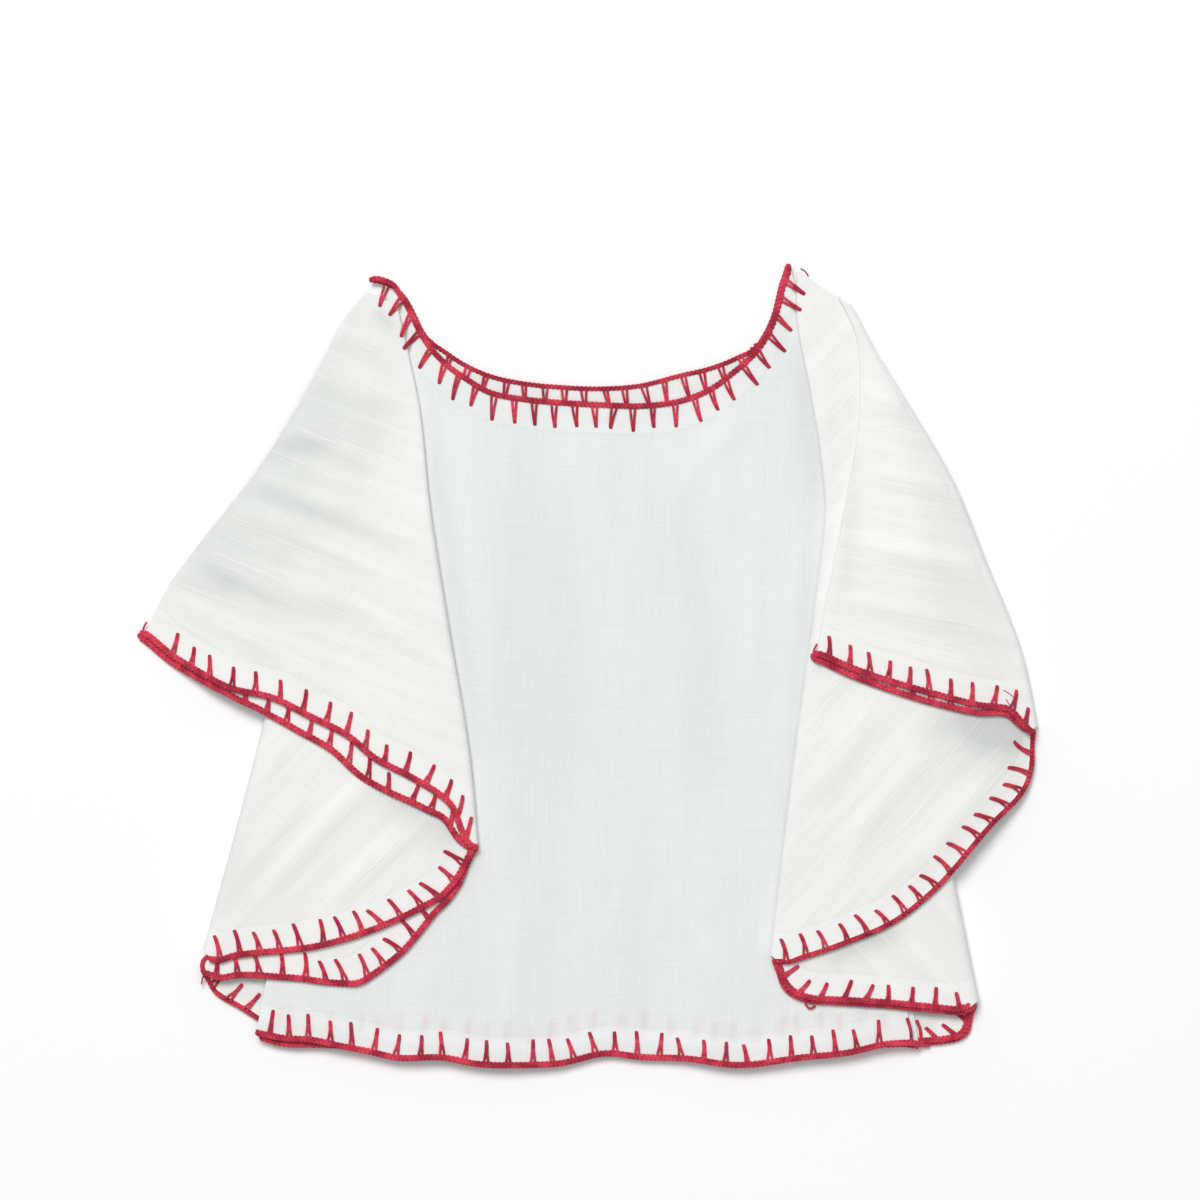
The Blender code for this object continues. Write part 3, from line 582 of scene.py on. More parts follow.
@dataclass
class Lie:
    """How the layers of the garment rest on each other and on the floor."""

    sizes: Sizes = SIZES
    outlines: dict[Side, list[Array]] = field(default_factory=dict)
    body: Array = field(default_factory=lambda: np.zeros((0, 2)))

    def __post_init__(self) -> None:
        """Works out the plan outlines of all flaps and of the body."""
        self.outlines = {side: [self.flap_outline(flap) for flap in flaps]
                         for side, flaps in FLAPS.items()}
        neck = smooth_line(NECK_BACK, OUTLINE_SAMPLES)
        inside = (neck[:, 0] > BODY_LEFT_TOP[0]) & (neck[:, 0] < BODY_RIGHT_TOP[0])
        self.body = np.concatenate([[BODY_LEFT_TOP], neck[inside],
                                    [BODY_RIGHT_TOP, BODY_RIGHT_HEM],
                                    smooth_line(HEM_FRONT, OUTLINE_SAMPLES)[::-1], [BODY_LEFT_HEM]])

    @staticmethod
    def oriented_hem(flap: Flap) -> Array:
        """A flap's hem line, running from its first fold to its second.

        Args:
            flap: The flap.

        Returns:
            The hem's points.
        """
        hem = smooth_line(flap.hem)
        start = np.asarray(flap.first[-1], float)
        if np.linalg.norm(hem[0] - start) > np.linalg.norm(hem[-1] - start):
            hem = hem[::-1]
        return hem

    def flap_outline(self, flap: Flap) -> Array:
        """Plan outline of a flap, with its folds and its hem."""
        hem = resampled(self.oriented_hem(flap), np.linspace(0, 1, OUTLINE_SAMPLES))
        return np.concatenate([smooth_line(flap.first, OUTLINE_SAMPLES), hem,
                               smooth_line(flap.second, OUTLINE_SAMPLES)[::-1]])

    def carried(self, points: Array, outlines: list[Array], width: float) -> Array:
        """1 over any outline and near it, falling to 0 where only the floor lies below."""
        away = np.min([outside_distance(points, outline) for outline in outlines], axis=0)
        return 1.0 - smooth_step((away - self.sizes.lift_margin) / width)

    def sleeve_wall(self, points: Array, side: Side) -> Array:
        """Thickness of a sleeve's two layers together at plan points.

        Args:
            points: Plan points, one a row.
            side: The sleeve's side.

        Returns:
            One thickness for each point.
        """
        sizes = self.sizes
        away = np.linalg.norm(points[:, :2] - SHOULDERS[side], axis=1)
        share = smooth_step((away - sizes.thickens_from) / sizes.thickens_over)
        return mixed(sizes.sleeve_wall_at_neck, sizes.sleeve_wall_at_hem, share)

    def back_height(self, points: Array) -> Array:
        """Underside of the back panel, lifted by the sleeves' flaps below it.

        Args:
            points: Plan points, one a row.

        Returns:
            One height for each point.
        """
        total = np.zeros(len(points))
        for side in Side:
            share = self.carried(points, self.outlines[side][:1], self.sizes.body_droop_width)
            total = total + share * (self.sleeve_wall(points, side) + self.sizes.seam_gap)
        return total

    def front_height(self, points: Array) -> Array:
        """Underside of the front panel, on the back panel."""
        return self.back_height(points) + self.sizes.panel_wall + self.sizes.seam_gap

    def flap_height(self, side: Side, index: int, points: Array) -> Array:
        """Underside of a sleeve's flap, counted from the floor up.

        Args:
            side: The sleeve's side.
            index: The flap's place from the floor up.
            points: Plan points, one a row.

        Returns:
            One height for each point.
        """
        if index == 0:
            return np.zeros(len(points))
        step = self.sleeve_wall(points, side) + self.sizes.seam_gap
        panels = 2 * (self.sizes.panel_wall + self.sizes.seam_gap)
        below = index if index < 3 else 2
        held = self.carried(points, self.outlines[side][:below] + [self.body],
                            self.sizes.droop_width)
        height = (below * step + panels) * held
        return height if index < 3 else height + step + self.sizes.loose_fold * (1 - held)

    def open_share(self, points: Array, covers: list[Array]) -> Array:
        """0 below any cover and 1 a few millimetres off it, so no ridge rises into a layer.

        Args:
            points: Plan points, one a row.
            covers: Outlines of what lies on the piece.

        Returns:
            One share for each point.
        """
        if not covers:
            return np.ones(len(points))
        away = np.min([outside_distance(points, cover) for cover in covers], axis=0)
        return smooth_step((away - self.sizes.crease_clear) / self.sizes.crease_rise)

    def creased(self, name: str, points: Array, covers: list[Array]) -> Array:
        """Height that a piece's creases add at plan points, where nothing lies on it.

        Args:
            name: The piece's row in CREASES.
            points: Plan points, one a row.
            covers: Outlines of what lies on the piece.

        Returns:
            One height for each point.
        """
        total = np.zeros(len(points))
        for crease in CREASES[name]:
            total = total + crease.lift(points)
        return total * self.open_share(points, covers)


def painted_shade_at(name: str, points: Array) -> Array:
    """How much painted shade darkens a piece's cloth at plan points.

    Args:
        name: The piece's row in the table of painted shade patches.
        points: Plan points, one a row.

    Returns:
        One share of painted shade for each point.
    """
    total = np.zeros(len(points))
    for patch in PAINTED_SHADE_PATCHES[name]:
        total = total + patch.lift(points)
    return total * PAINTED_SHADE_DEPTH


def new_mesh(name: str, corners: Array, faces: list[tuple[int, ...]]) -> tuple[Mesh, Array]:
    """A mesh in metres, from vertices in millimetres.

    Args:
        name: The mesh's name.
        corners: Its vertices, counted from the frame's origin.
        faces: The vertices of each face.

    Returns:
        The mesh, and the vertex at each corner of its faces.
    """
    mesh = bpy.data.meshes.new(name)
    mesh.from_pydata((corners * MILLIMETRE).tolist(), [], faces)
    loop_vertex = np.zeros(len(mesh.loops), np.int64)
    mesh.loops.foreach_get("vertex_index", loop_vertex)
    return mesh, loop_vertex


def dressed_piece(mesh: Mesh, finish: Material, values: dict[str, Array],
                  sharp_from: float) -> Object:
    """Gives a mesh its values, shading and material, and makes it an object.

    Args:
        mesh: The mesh, whose name the object takes.
        finish: Its material.
        values: What its material reads, one number for each vertex.
        sharp_from: The angle in degrees from which an edge stays sharp.

    Returns:
        The new object.
    """
    for title, numbers in values.items():
        attribute = mesh.attributes.new(title, "FLOAT", "POINT")
        attribute.data.foreach_set("value", np.asarray(numbers, np.float32))
    mesh.shade_smooth()
    mesh.set_sharp_from_angle(angle=math.radians(sharp_from))
    mesh.materials.append(finish)
    mesh.update()
    piece = bpy.data.objects.new(mesh.name, mesh)
    bpy.context.scene.collection.objects.link(piece)
    return piece


@dataclass
class ClothMesh:
    """Vertices and faces of one cloth piece, with what its material reads."""

    vertices: Array
    faces: list[tuple[int, ...]]
    grain_angles: Array
    hem_distance: Array
    show_through: Array
    # Painted shade from the grey patches, one share for each vertex.
    tone: Array
    sharp_from: float = 62.0

    def build(self, name: str, finish: Material) -> Object:
        """Makes the Blender object, in metres and in the frame.

        Args:
            name: The object's name.
            finish: Its material.

        Returns:
            The new object.
        """
        faces = self.faces
        corners = self.vertices - BOX_CENTRE
        if signed_volume(corners, faces) < 0:
            faces = [tuple(reversed(face)) for face in faces]
        mesh, loop_vertex = new_mesh(name, corners, faces)
        sizes = np.array([len(face) for face in faces])
        angle = np.radians(np.repeat(self.grain_angles, sizes))
        plan = corners[loop_vertex, :2] * MILLIMETRE
        along = plan[:, 0] * np.cos(angle) + plan[:, 1] * np.sin(angle)
        across = plan[:, 1] * np.cos(angle) - plan[:, 0] * np.sin(angle)
        layer = mesh.uv_layers.new(name=GRAIN)
        layer.data.foreach_set("uv", np.stack([along, across], axis=1).ravel())
        values = {HEM_DISTANCE: self.hem_distance, SHOW_THROUGH: self.show_through,
                  PAINTED_SHADE: self.tone}
        return dressed_piece(mesh, finish, values, self.sharp_from)


def signed_volume(vertices: Array, faces: list[tuple[int, ...]]) -> float:
    """Six times the volume that the faces hold, positive when they face out.

    Args:
        vertices: The vertices, one a row.
        faces: The vertices of each face.

    Returns:
        The volume, times six.
    """
    total = 0.0
    by_size: dict[int, list[tuple[int, ...]]] = {}
    for face in faces:
        by_size.setdefault(len(face), []).append(face)
    for size, group in by_size.items():
        at = np.array(group)
        for k in range(1, size - 1):
            a, b, c = vertices[at[:, 0]], vertices[at[:, k]], vertices[at[:, k + 1]]
            total += float((a * np.cross(b, c)).sum())
    return total


def wound(rings: list[Array]) -> list[tuple[int, ...]]:
    """Quads that join equal closed loops one to the next.

    Args:
        rings: The loops' points, one a row.

    Returns:
        The vertices of each quad.
    """
    size = len(rings[0])
    faces = []
    for i in range(len(rings) - 1):
        for k in range(size):
            a, b = i * size + k, i * size + (k + 1) % size
            faces.append((a, a + size, b + size, b))
    return faces


@dataclass
class LayerLine:
    """One layer of a sleeve along one column, from the shoulder to its hem."""

    middle: Array
    normal: Array
    wall: Array
    hem_end: Array


@dataclass
class SleeveColumn:
    """Both layers of a sleeve along one column."""

    lines: dict[Layer, LayerLine]
    flap: int
    slit: float
    way: Array
    chain_lift: dict[Layer, float]
    aside: Array = field(default_factory=lambda: np.zeros(2))

    def chain_place(self, layer: Layer) -> Array:
        """The middle of a layer's chain, just past the layer's hem.

        Args:
            layer: The layer.

        Returns:
            A point in space.
        """
        line = self.lines[layer]
        out = self.way * SIZES.edge_inset + self.aside
        return (line.hem_end + np.append(out, SIZES.chain_proud)
                + line.normal[-1] * self.chain_lift[layer])


@dataclass
class FoldedSleeve:
    """A wide sleeve of two layers, folded to and fro from the floor up."""

    side: Side
    lie: Lie
    rows: int = 92
    turn_steps: int = 9
    nose_steps: tuple[tuple[float, float], ...] = ((0.35, 0.95), (0.65, 0.78), (0.9, 0.45),
                                                   (0.98, 0.2))
    firm_spread: float = 1.3
    soft_spread: float = 3.4
    soft_reach: float = 7.0
    double_from: float = 2 / 3
    double_inset: float = 1.25
    double_rise: float = 0.95
    stitch_step: float = 0.4
    stitch_spread: float = 1.0
    lean_spread: float = 2.5
    lip_room: float = 0.4
    starts: list[int] = field(default_factory=list)

    @property
    def flaps(self) -> tuple[Flap, ...]:
        """The sleeve's flaps from the floor up."""
        return FLAPS[self.side]

    def covers(self, index: int) -> list[Array]:
        """Outlines of what lies on a flap."""
        above = self.lie.outlines[self.side][index + 1:]
        return above if index else above + [self.lie.body]

    def lift(self, index: int, points: Array) -> Array:
        """Height that creases add to a flap."""
        name = f"{self.side.value}_{self.flaps[index].name}"
        return self.lie.creased(name, points, self.covers(index))

    def middle_height(self, index: int, points: Array) -> Array:
        """Height of the middle of a flap's two layers, without creases."""
        wall = self.lie.sleeve_wall(points, self.side)
        return self.lie.flap_height(self.side, index, points) + wall / 2

    def side_line(self, index: int, which: str) -> tuple[Array, Array]:
        """A flap's edge: its fold line drawn in by the reach of the turn, with its way out.

        Args:
            index: The flap's place from the floor up.
            which: The fold line, first or second.

        Returns:
            The edge's plan points, and a unit vector out at each.
        """
        flap = self.flaps[index]
        fold = resampled(smooth_line(getattr(flap, which)), np.linspace(0, 1, self.rows))
        other = flap.first if which == "second" else flap.second
        far = resampled(smooth_line(other), np.linspace(0, 1, self.rows))
        across = sideways(fold)
        across = across * np.sign(((fold - far) * across).sum(axis=1).mean())
        reach = self.lie.sleeve_wall(fold, self.side) / 2
        neighbour = index + (1 if which == "second" else -1)
        if 0 <= neighbour < len(self.flaps):
            low, high = sorted((index, neighbour))
            rise = self.middle_height(high, fold) - self.middle_height(low, fold)
            reach = reach + rise / 2
        return fold - across * reach[:, None], across

    def flap_columns(self, index: int) -> tuple[list[SleeveColumn], Array, Array]:
        """The columns of one flap, with the ways out beside its two folds.

        Args:
            index: The flap's place from the floor up.

        Returns:
            The columns, and the ways out at the first and second fold.
        """
        flap = self.flaps[index]
        first, out_first = self.side_line(index, "first")
        second, out_second = self.side_line(index, "second")
        shares = np.linspace(0, 1, flap.columns)
        hem = self.lie.oriented_hem(flap)
        across = sideways(hem)
        across = across * np.sign(((hem - first[0]) * across).sum(axis=1).mean())
        lips = flap.lips(np.linspace(0, 1, len(hem)))
        visible = hem - across * SIZES.edge_inset
        inner = visible - across * lips[:, None] if flap.hides_short else visible
        short = fitted_ends(resampled(inner, shares), first[-1], second[-1], SIZES.end_bend)
        way = unit(resampled(across, shares))
        width = np.linalg.norm(short[-1] - short[0])
        for at, line in ((0, first), (1, second)):
            along = unit(line[-1] - line[-2])
            near = 1 - smooth_step(np.abs(shares - at) * width / SIZES.way_blend)
            way = unit(mixed(way, along, near[:, None]))
        reach = flap.lips(shares)
        trims = np.zeros(flap.columns)
        for at, neighbour in ((0, index - 1), (1, index + 1)):
            if 0 <= neighbour < len(self.flaps):
                near = 1 - smooth_step(np.abs(shares - at) * width / SIZES.tip_reach)
                trims = np.maximum(trims, SIZES.tip_trim * near)
        grid = fanned_patch(short, first, second)
        made = []
        for column in range(flap.columns):
            edge = min(shares[column], 1 - shares[column]) * width
            fade = float(smooth_step(np.array(edge / SIZES.crease_fade)))
            lines, lift = {}, {}
            low, high = self.chain_heights(flap, short[column], reach[column])
            for layer in Layer:
                plan = grid[column]
                hem_end = short[column]
                if layer is flap.longer:
                    hem_end = hem_end + way[column] * reach[column]
                plan = np.vstack([plan, hem_end + way[column] * SIZES.tuck])
                kept = 1 - trims[column] / length_of(plan)
                plan = resampled(plan, np.linspace(0, kept, self.rows))
                hem_end = plan[-1] - way[column] * SIZES.tuck
                height = self.middle_height(index, plan) + fade * self.lift(index, plan)
                normal = np.tile([0.0, 0.0, float(flap.up)], (self.rows, 1))
                lines[layer] = LayerLine(np.column_stack([plan, height]), normal,
                                         self.lie.sleeve_wall(plan, self.side),
                                         np.append(hem_end, height[-1]))
                lift[layer] = (high if layer is flap.on_top else low) * flap.up
            made.append(SleeveColumn(lines, index, SIZES.slit, way[column], lift))
        return made, out_first, out_second

    def chain_heights(self, flap: Flap, place: Array, reach: float) -> tuple[float, float]:
        """Heights of the lower and the upper chain's middle above the middle of the wall.

        Args:
            flap: The flap.
            place: A plan point on its hem.
            reach: How far its longer layer reaches past the other.

        Returns:
            The lower height and the upper one.
        """
        wall = float(self.lie.sleeve_wall(place[None], self.side)[0])
        low = SIZES.cord_radius - wall / 2
        if flap.chains == 1:
            return low, low
        apart = math.sqrt(max(0.0, SIZES.cord_pitch**2 - reach**2))
        return low, max(SIZES.seam_gap + SIZES.cord_radius, low + apart)

    def turn_columns(self, below: SleeveColumn, above: SleeveColumn,
                     across: Array) -> list[SleeveColumn]:
        """The round turn from a flap to the next one up.

        Args:
            below: The last column of the flap below.
            above: The first column of the flap above.
            across: The way out at each row, in plan.

        Returns:
            The columns of the turn, from below to above.
        """
        out = np.column_stack([across, np.zeros(len(across))])
        made = []
        for step in range(1, self.turn_steps):
            share = step / self.turn_steps
            angle = math.pi * share
            spoke = out * math.sin(angle) + np.array([0, 0, -math.cos(angle)])
            lines, lift = {}, {}
            for layer in Layer:
                low, high = below.lines[layer], above.lines[layer]
                half = (high.middle - low.middle) / 2
                middle = ((low.middle + high.middle) / 2 - math.cos(angle) * half
                          + out * math.sin(angle) * half[:, 2:3])
                past = mixed(low.hem_end - low.middle[-1], high.hem_end - high.middle[-1], share)
                cut = SIZES.turn_trim * math.sin(angle)
                kept = 1 - cut / length_of(middle)
                middle = resampled(middle, np.linspace(0, kept, self.rows))
                lines[layer] = LayerLine(middle, -low.normal[0, 2] * spoke, low.wall,
                                         middle[-1] + past)
                lift[layer] = mixed(below.chain_lift[layer], above.chain_lift[layer], share)
            flap = below.flap if step * 2 < self.turn_steps else above.flap
            made.append(SleeveColumn(lines, flap, SIZES.slit,
                                     mixed(below.way, above.way, share), lift))
        return made

    def nose_columns(self, edge: SleeveColumn, across: Array) -> list[SleeveColumn]:
        """The rounded closed side beside a flap's last column.

        Args:
            edge: The flap's last column.
            across: The way out at each row, in plan.

        Returns:
            The columns, from the flap outwards.
        """
        out = np.column_stack([across, np.zeros(len(across))])
        made = []
        for reach, share in self.nose_steps:
            lines = {}
            for layer, line in edge.lines.items():
                move = out * (line.wall / 2 * reach)[:, None]
                lines[layer] = LayerLine(line.middle + move, line.normal, line.wall * share,
                                         line.hem_end + move[-1])
            made.append(SleeveColumn(lines, edge.flap, 0.0, edge.way, edge.chain_lift,
                                     across[-1] * SIZES.edge_inset * reach))
        return made

    def columns(self) -> list[SleeveColumn]:
        """All columns, from the closed side of the lowest flap to that of the top one.

        Returns:
            The columns in order along the cloth.
        """
        found: list[SleeveColumn] = []
        out_second = np.zeros((self.rows, 2))
        self.starts = []
        for index in range(len(self.flaps)):
            made, out_first, out_second = self.flap_columns(index)
            if index == 0:
                found += self.nose_columns(made[0], out_first)[::-1]
            else:
                found += self.turn_columns(found[-1], made[0], out_first)
            self.starts.append(len(found))
            found += made
        return found + self.nose_columns(found[-1], out_second)

    def chain(self) -> Array:
        """The sleeve's chain: one layer's to the tip, and the other's back from it.

        Returns:
            The chain's middle line.
        """
        columns = self.columns()
        there = self.flaps[0].on_top
        back = Layer.B if there is Layer.A else Layer.A
        first_seen = next(k for k, flap in enumerate(self.flaps) if flap.chains == 2)
        path = [column.chain_place(there) for column in columns[self.starts[0]:]]
        path += [column.chain_place(back) for column in columns[self.starts[first_seen]:]][::-1]
        return self.softened(np.array(path), columns)

    def softened(self, path: Array, columns: list[SleeveColumn]) -> Array:
        """A chain's path, rounded most where the cloth turns.

        Args:
            path: The chain's places, one a row.
            columns: All columns of the sleeve.

        Returns:
            The rounded path.
        """
        firm = rounded(path, CHAIN_STEP, self.firm_spread)
        soft = rounded(path, CHAIN_STEP, self.soft_spread)
        tips = np.array([columns[start - 1].chain_place(Layer.A)[:2] for start in self.starts[1:]])
        away = np.linalg.norm(firm[:, None, :2] - tips[None], axis=-1).min(axis=1)
        return mixed(firm, soft, np.exp(-((away / self.soft_reach) ** 2))[:, None])

    def doubled_chain(self) -> Array:
        """A second chain beside the first, round the tip of the two lowest flaps.

        Returns:
            The chain's middle line.
        """
        columns = self.columns()
        there = self.flaps[0].on_top
        first = self.starts[0] + int(self.flaps[0].columns * self.double_from)
        beside = np.array([0.0, 0.0, self.double_rise])
        path = [column.chain_place(there) - np.append(column.way * self.double_inset, 0.0) + beside
                for column in columns[first:self.starts[2] - self.turn_steps]]
        return self.softened(np.array(path), columns)

    @staticmethod
    def ring(column: SleeveColumn) -> Array:
        """Closed loop round one column: each layer's outer face and its inner face.

        Args:
            column: The column.

        Returns:
            The loop's points, one a row.
        """
        a, b = column.lines[Layer.A], column.lines[Layer.B]
        outer_a = a.middle + a.normal * (a.wall / 2)[:, None]
        inner_a = a.middle + a.normal * (column.slit / 2)
        inner_b = b.middle - b.normal * (column.slit / 2)
        outer_b = b.middle - b.normal * (b.wall / 2)[:, None]
        return np.concatenate([outer_a, inner_a[:0:-1], inner_b[1:], outer_b[::-1]])

    def caps(self, count: int) -> list[tuple[int, ...]]:
        """Faces that close the two end loops of the sleeve.

        Args:
            count: The number of loops.

        Returns:
            The vertices of each face.
        """
        n = self.rows
        size = 4 * n - 2
        faces = []
        for start, turned in ((0, True), ((count - 1) * size, False)):
            inner_a = [2 * n - 1 - j for j in range(n)]
            inner_b = [2 * n - 2 + j for j in range(n)]
            outer_b = [4 * n - 3 - j for j in range(n)]
            made = [(0, 1, inner_a[1], inner_b[1], outer_b[1], outer_b[0])]
            for j in range(1, n - 1):
                made.append((j, j + 1, inner_a[j + 1], inner_a[j]))
                made.append((inner_b[j], inner_b[j + 1], outer_b[j + 1], outer_b[j]))
            for face in made:
                face = tuple(start + k for k in face)
                faces.append(face[::-1] if turned else face)
        return faces

    def build(self, finish: Material) -> Object:
        """Makes the sleeve's cloth.

        Args:
            finish: Its material.

        Returns:
            The new object.
        """
        columns = self.columns()
        rings = [self.ring(column) for column in columns]
        faces = wound(rings) + self.caps(len(rings))
        size = len(rings[0])
        angles = np.array([self.flaps[column.flap].grain for column in columns])
        face_angles = np.concatenate([np.repeat(angles[1:], size),
                                      np.repeat(angles[[0, -1]], 2 * self.rows - 3)])
        # Painted shade from the flap's grey patches, ring by ring.
        painted_shade_values = np.concatenate([
            painted_shade_at(f"{self.side.value}_{self.flaps[column.flap].name}", ring[:, :2])
            for column, ring in zip(columns, rings)])
        distances = []
        half = 2 * self.rows - 1
        for ring in rings:
            ends = ring[[self.rows - 1, 3 * self.rows - 2]]
            near = [np.linalg.norm(part[:, :2] - end[:2], axis=1)
                    for part, end in ((ring[:half], ends[0]), (ring[half:], ends[1]))]
            distances.append(np.concatenate(near))
        cloth = ClothMesh(np.concatenate(rings), faces, face_angles, np.concatenate(distances),
                          np.zeros(size * len(rings)), painted_shade_values)
        return cloth.build(f"{self.side.value}_sleeve_cloth", finish)

    def stitch_runs(self) -> list["StitchRun"]:
        """The rows of stitches along the sleeve's hems, as far as they can be seen.

        Returns:
            One row for each layer of a flap that shows.
        """
        runs = []
        for index, flap in enumerate(self.flaps):
            columns = self.flap_columns(index)[0]
            for layer in Layer:
                is_on_top = layer is flap.on_top
                if not is_on_top and (flap.hides_short or flap.chains == 1):
                    continue
                base = np.array([column.chain_place(layer)[:2] for column in columns])
                outward = columns[len(columns) // 2].way
                base = rounded(base, self.stitch_step, self.stitch_spread)
                way = sideways(rounded(base, self.stitch_step, self.lean_spread))
                way = way * np.sign(way[len(way) // 2] @ outward)
                way = unit(resampled(way, np.linspace(0, 1, len(base))))
                room = np.full(len(base), OPEN_ROOM)
                if not is_on_top:
                    room = flap.lips(np.linspace(0, 1, len(base))) + self.lip_room
                runs.append(StitchRun(base, -way, self.top_of(index, 0.5 if is_on_top else 0.0),
                                      flap.stitch_gap, flap.stitch_length, room,
                                      flap.stitch_pull, flap.stitch_hook))
        return runs

    def top_of(self, index: int, share: float) -> Heights:
        """Upper face of a flap (share 0.5) or of its lower layer (share 0).

        Args:
            index: The flap's place from the floor up.
            share: The part of the wall that lies above its middle.

        Returns:
            A function from plan points to heights.
        """
        def height(points: Array) -> Array:
            """The height of the face at plan points."""
            wall = self.lie.sleeve_wall(points, self.side)
            return self.middle_height(index, points) + wall * share + self.lift(index, points)
        return height


@dataclass
class BodyPanel:
    """The front or the back of the body, from its neckline to its hem."""

    name: str
    lie: Lie
    neck: Line
    hem: Line
    is_front: bool
    columns: int = 104
    rows: int = 108
    tab: float = 13.0
    tab_skip: int = 4
    row_crowding: float = 0.35
    mark_radius: float = 1.6
    chunks: int = 40

    def floor_of(self, points: Array, from_hem: Array) -> Array:
        """Underside of the panel, with its creases.

        Args:
            points: Plan points, one a row.
            from_hem: How far each lies from the hem.

        Returns:
            One height for each point.
        """
        if not self.is_front:
            return self.lie.back_height(points)
        rise = np.interp(from_hem, *np.transpose(HEM_RISE))
        return self.lie.front_height(points) + rise + self.lie.creased("front", points,
                                                                       self.covers())

    def covers(self) -> list[Array]:
        """Outlines of the flaps that lie on the body."""
        return [outline for side in Side for outline in self.lie.outlines[side][1:]]

    def build(self, finish: Material, marks: Array) -> Object:
        """Makes the panel's cloth.

        Args:
            finish: Its material.
            marks: Plan points of the stitches below that show through it, or none.

        Returns:
            The new object.
        """
        whole = smooth_line(self.neck)
        whole = whole + sideways(whole) * (SIZES.edge_inset - SIZES.tuck)
        first, last = (int(np.argmin(np.linalg.norm(whole - np.asarray(end), axis=1)))
                       for end in (BODY_LEFT_TOP, BODY_RIGHT_TOP))
        hem = smooth_line(self.hem)
        hem = hem - sideways(hem) * (SIZES.edge_inset - SIZES.tuck)
        shares = np.linspace(0, 1, self.columns)
        tops = fitted_ends(resampled(whole[first:last + 1], shares), np.array(BODY_LEFT_TOP),
                           np.array(BODY_RIGHT_TOP), SIZES.end_bend)
        tabs = resampled(whole[self.tab_skip:last + 1], shares) - tops
        rings, distance = [], []
        for top, tab, low in zip(tops, tabs, resampled(hem, shares)):
            length = float(np.linalg.norm(low - top))
            t = np.linspace(0, 1, self.rows)
            from_neck = length * mixed(t, smooth_step(t), self.row_crowding)
            plan = top + from_neck[:, None] / length * (low - top)
            plan = plan + tab * (1 - smooth_step(from_neck / self.tab))[:, None]
            under = self.floor_of(plan, length - from_neck)
            floor = np.column_stack([plan, under])
            rings.append(np.concatenate([floor + [0, 0, SIZES.panel_wall], floor[::-1]]))
            near = np.minimum(from_neck, length - from_neck)
            distance.append(np.concatenate([near, near[::-1]]))
        faces = wound(rings)
        size = len(rings[0])
        for start in (0, (len(rings) - 1) * size):
            for k in range(self.rows - 1):
                face = (start + k, start + k + 1, start + size - 2 - k, start + size - 1 - k)
                faces.append(face if start else face[::-1])
        vertices = np.concatenate(rings)
        shown = np.zeros(len(vertices))
        if len(marks):
            for chunk in np.array_split(np.arange(len(vertices)), self.chunks):
                away = np.linalg.norm(vertices[chunk, None, :2] - marks[None], axis=-1).min(axis=1)
                shown[chunk] = np.exp(-((away / self.mark_radius) ** 2))
        upright = np.full(len(faces), 90.0)
        # The body's grey patches go in as painted shade.
        cloth = ClothMesh(vertices, faces, upright, np.concatenate(distance), shown,
                          painted_shade_at(self.name, vertices[:, :2]))
        return cloth.build(f"{self.name}_cloth", finish)

    def hem_run(self) -> "StitchRun":
        """The stitches along the body's hem.

        Returns:
            The row of stitches.
        """
        hem = smooth_line(self.hem)

        def height(points: Array) -> Array:
            """The height of the panel's upper face near its hem."""
            near = np.min(np.linalg.norm(points[:, None] - hem[None, ::4], axis=-1), axis=1)
            return self.floor_of(points, near) + SIZES.panel_wall
        return StitchRun(hem, -sideways(hem), height, gap=8.9, length=9.2,
                         room=np.full(len(hem), OPEN_ROOM), pull=0.6, hook=-0.5)

    def hem_chain(self) -> Array:
        """The middle of the chain along the hem.

        Returns:
            The chain's middle line.
        """
        hem = smooth_line(self.hem)
        under = self.floor_of(hem, np.zeros(len(hem)))
        lift = SIZES.cord_radius + SIZES.chain_proud
        line = np.column_stack([hem, under + lift])
        if self.is_front:
            line = np.vstack([line, HEM_RUNS_ON])
        return rounded(line, CHAIN_STEP, CHAIN_SPREAD)

    def neck_run(self, room: Array, top: Heights) -> "StitchRun":
        """The stitches along the neckline, on the side of the cloth that faces up."""
        neck = smooth_line(self.neck)
        return StitchRun(neck, sideways(neck), top, gap=7.85, length=9.6, room=room, pull=0.5,
                         hook=0.5)


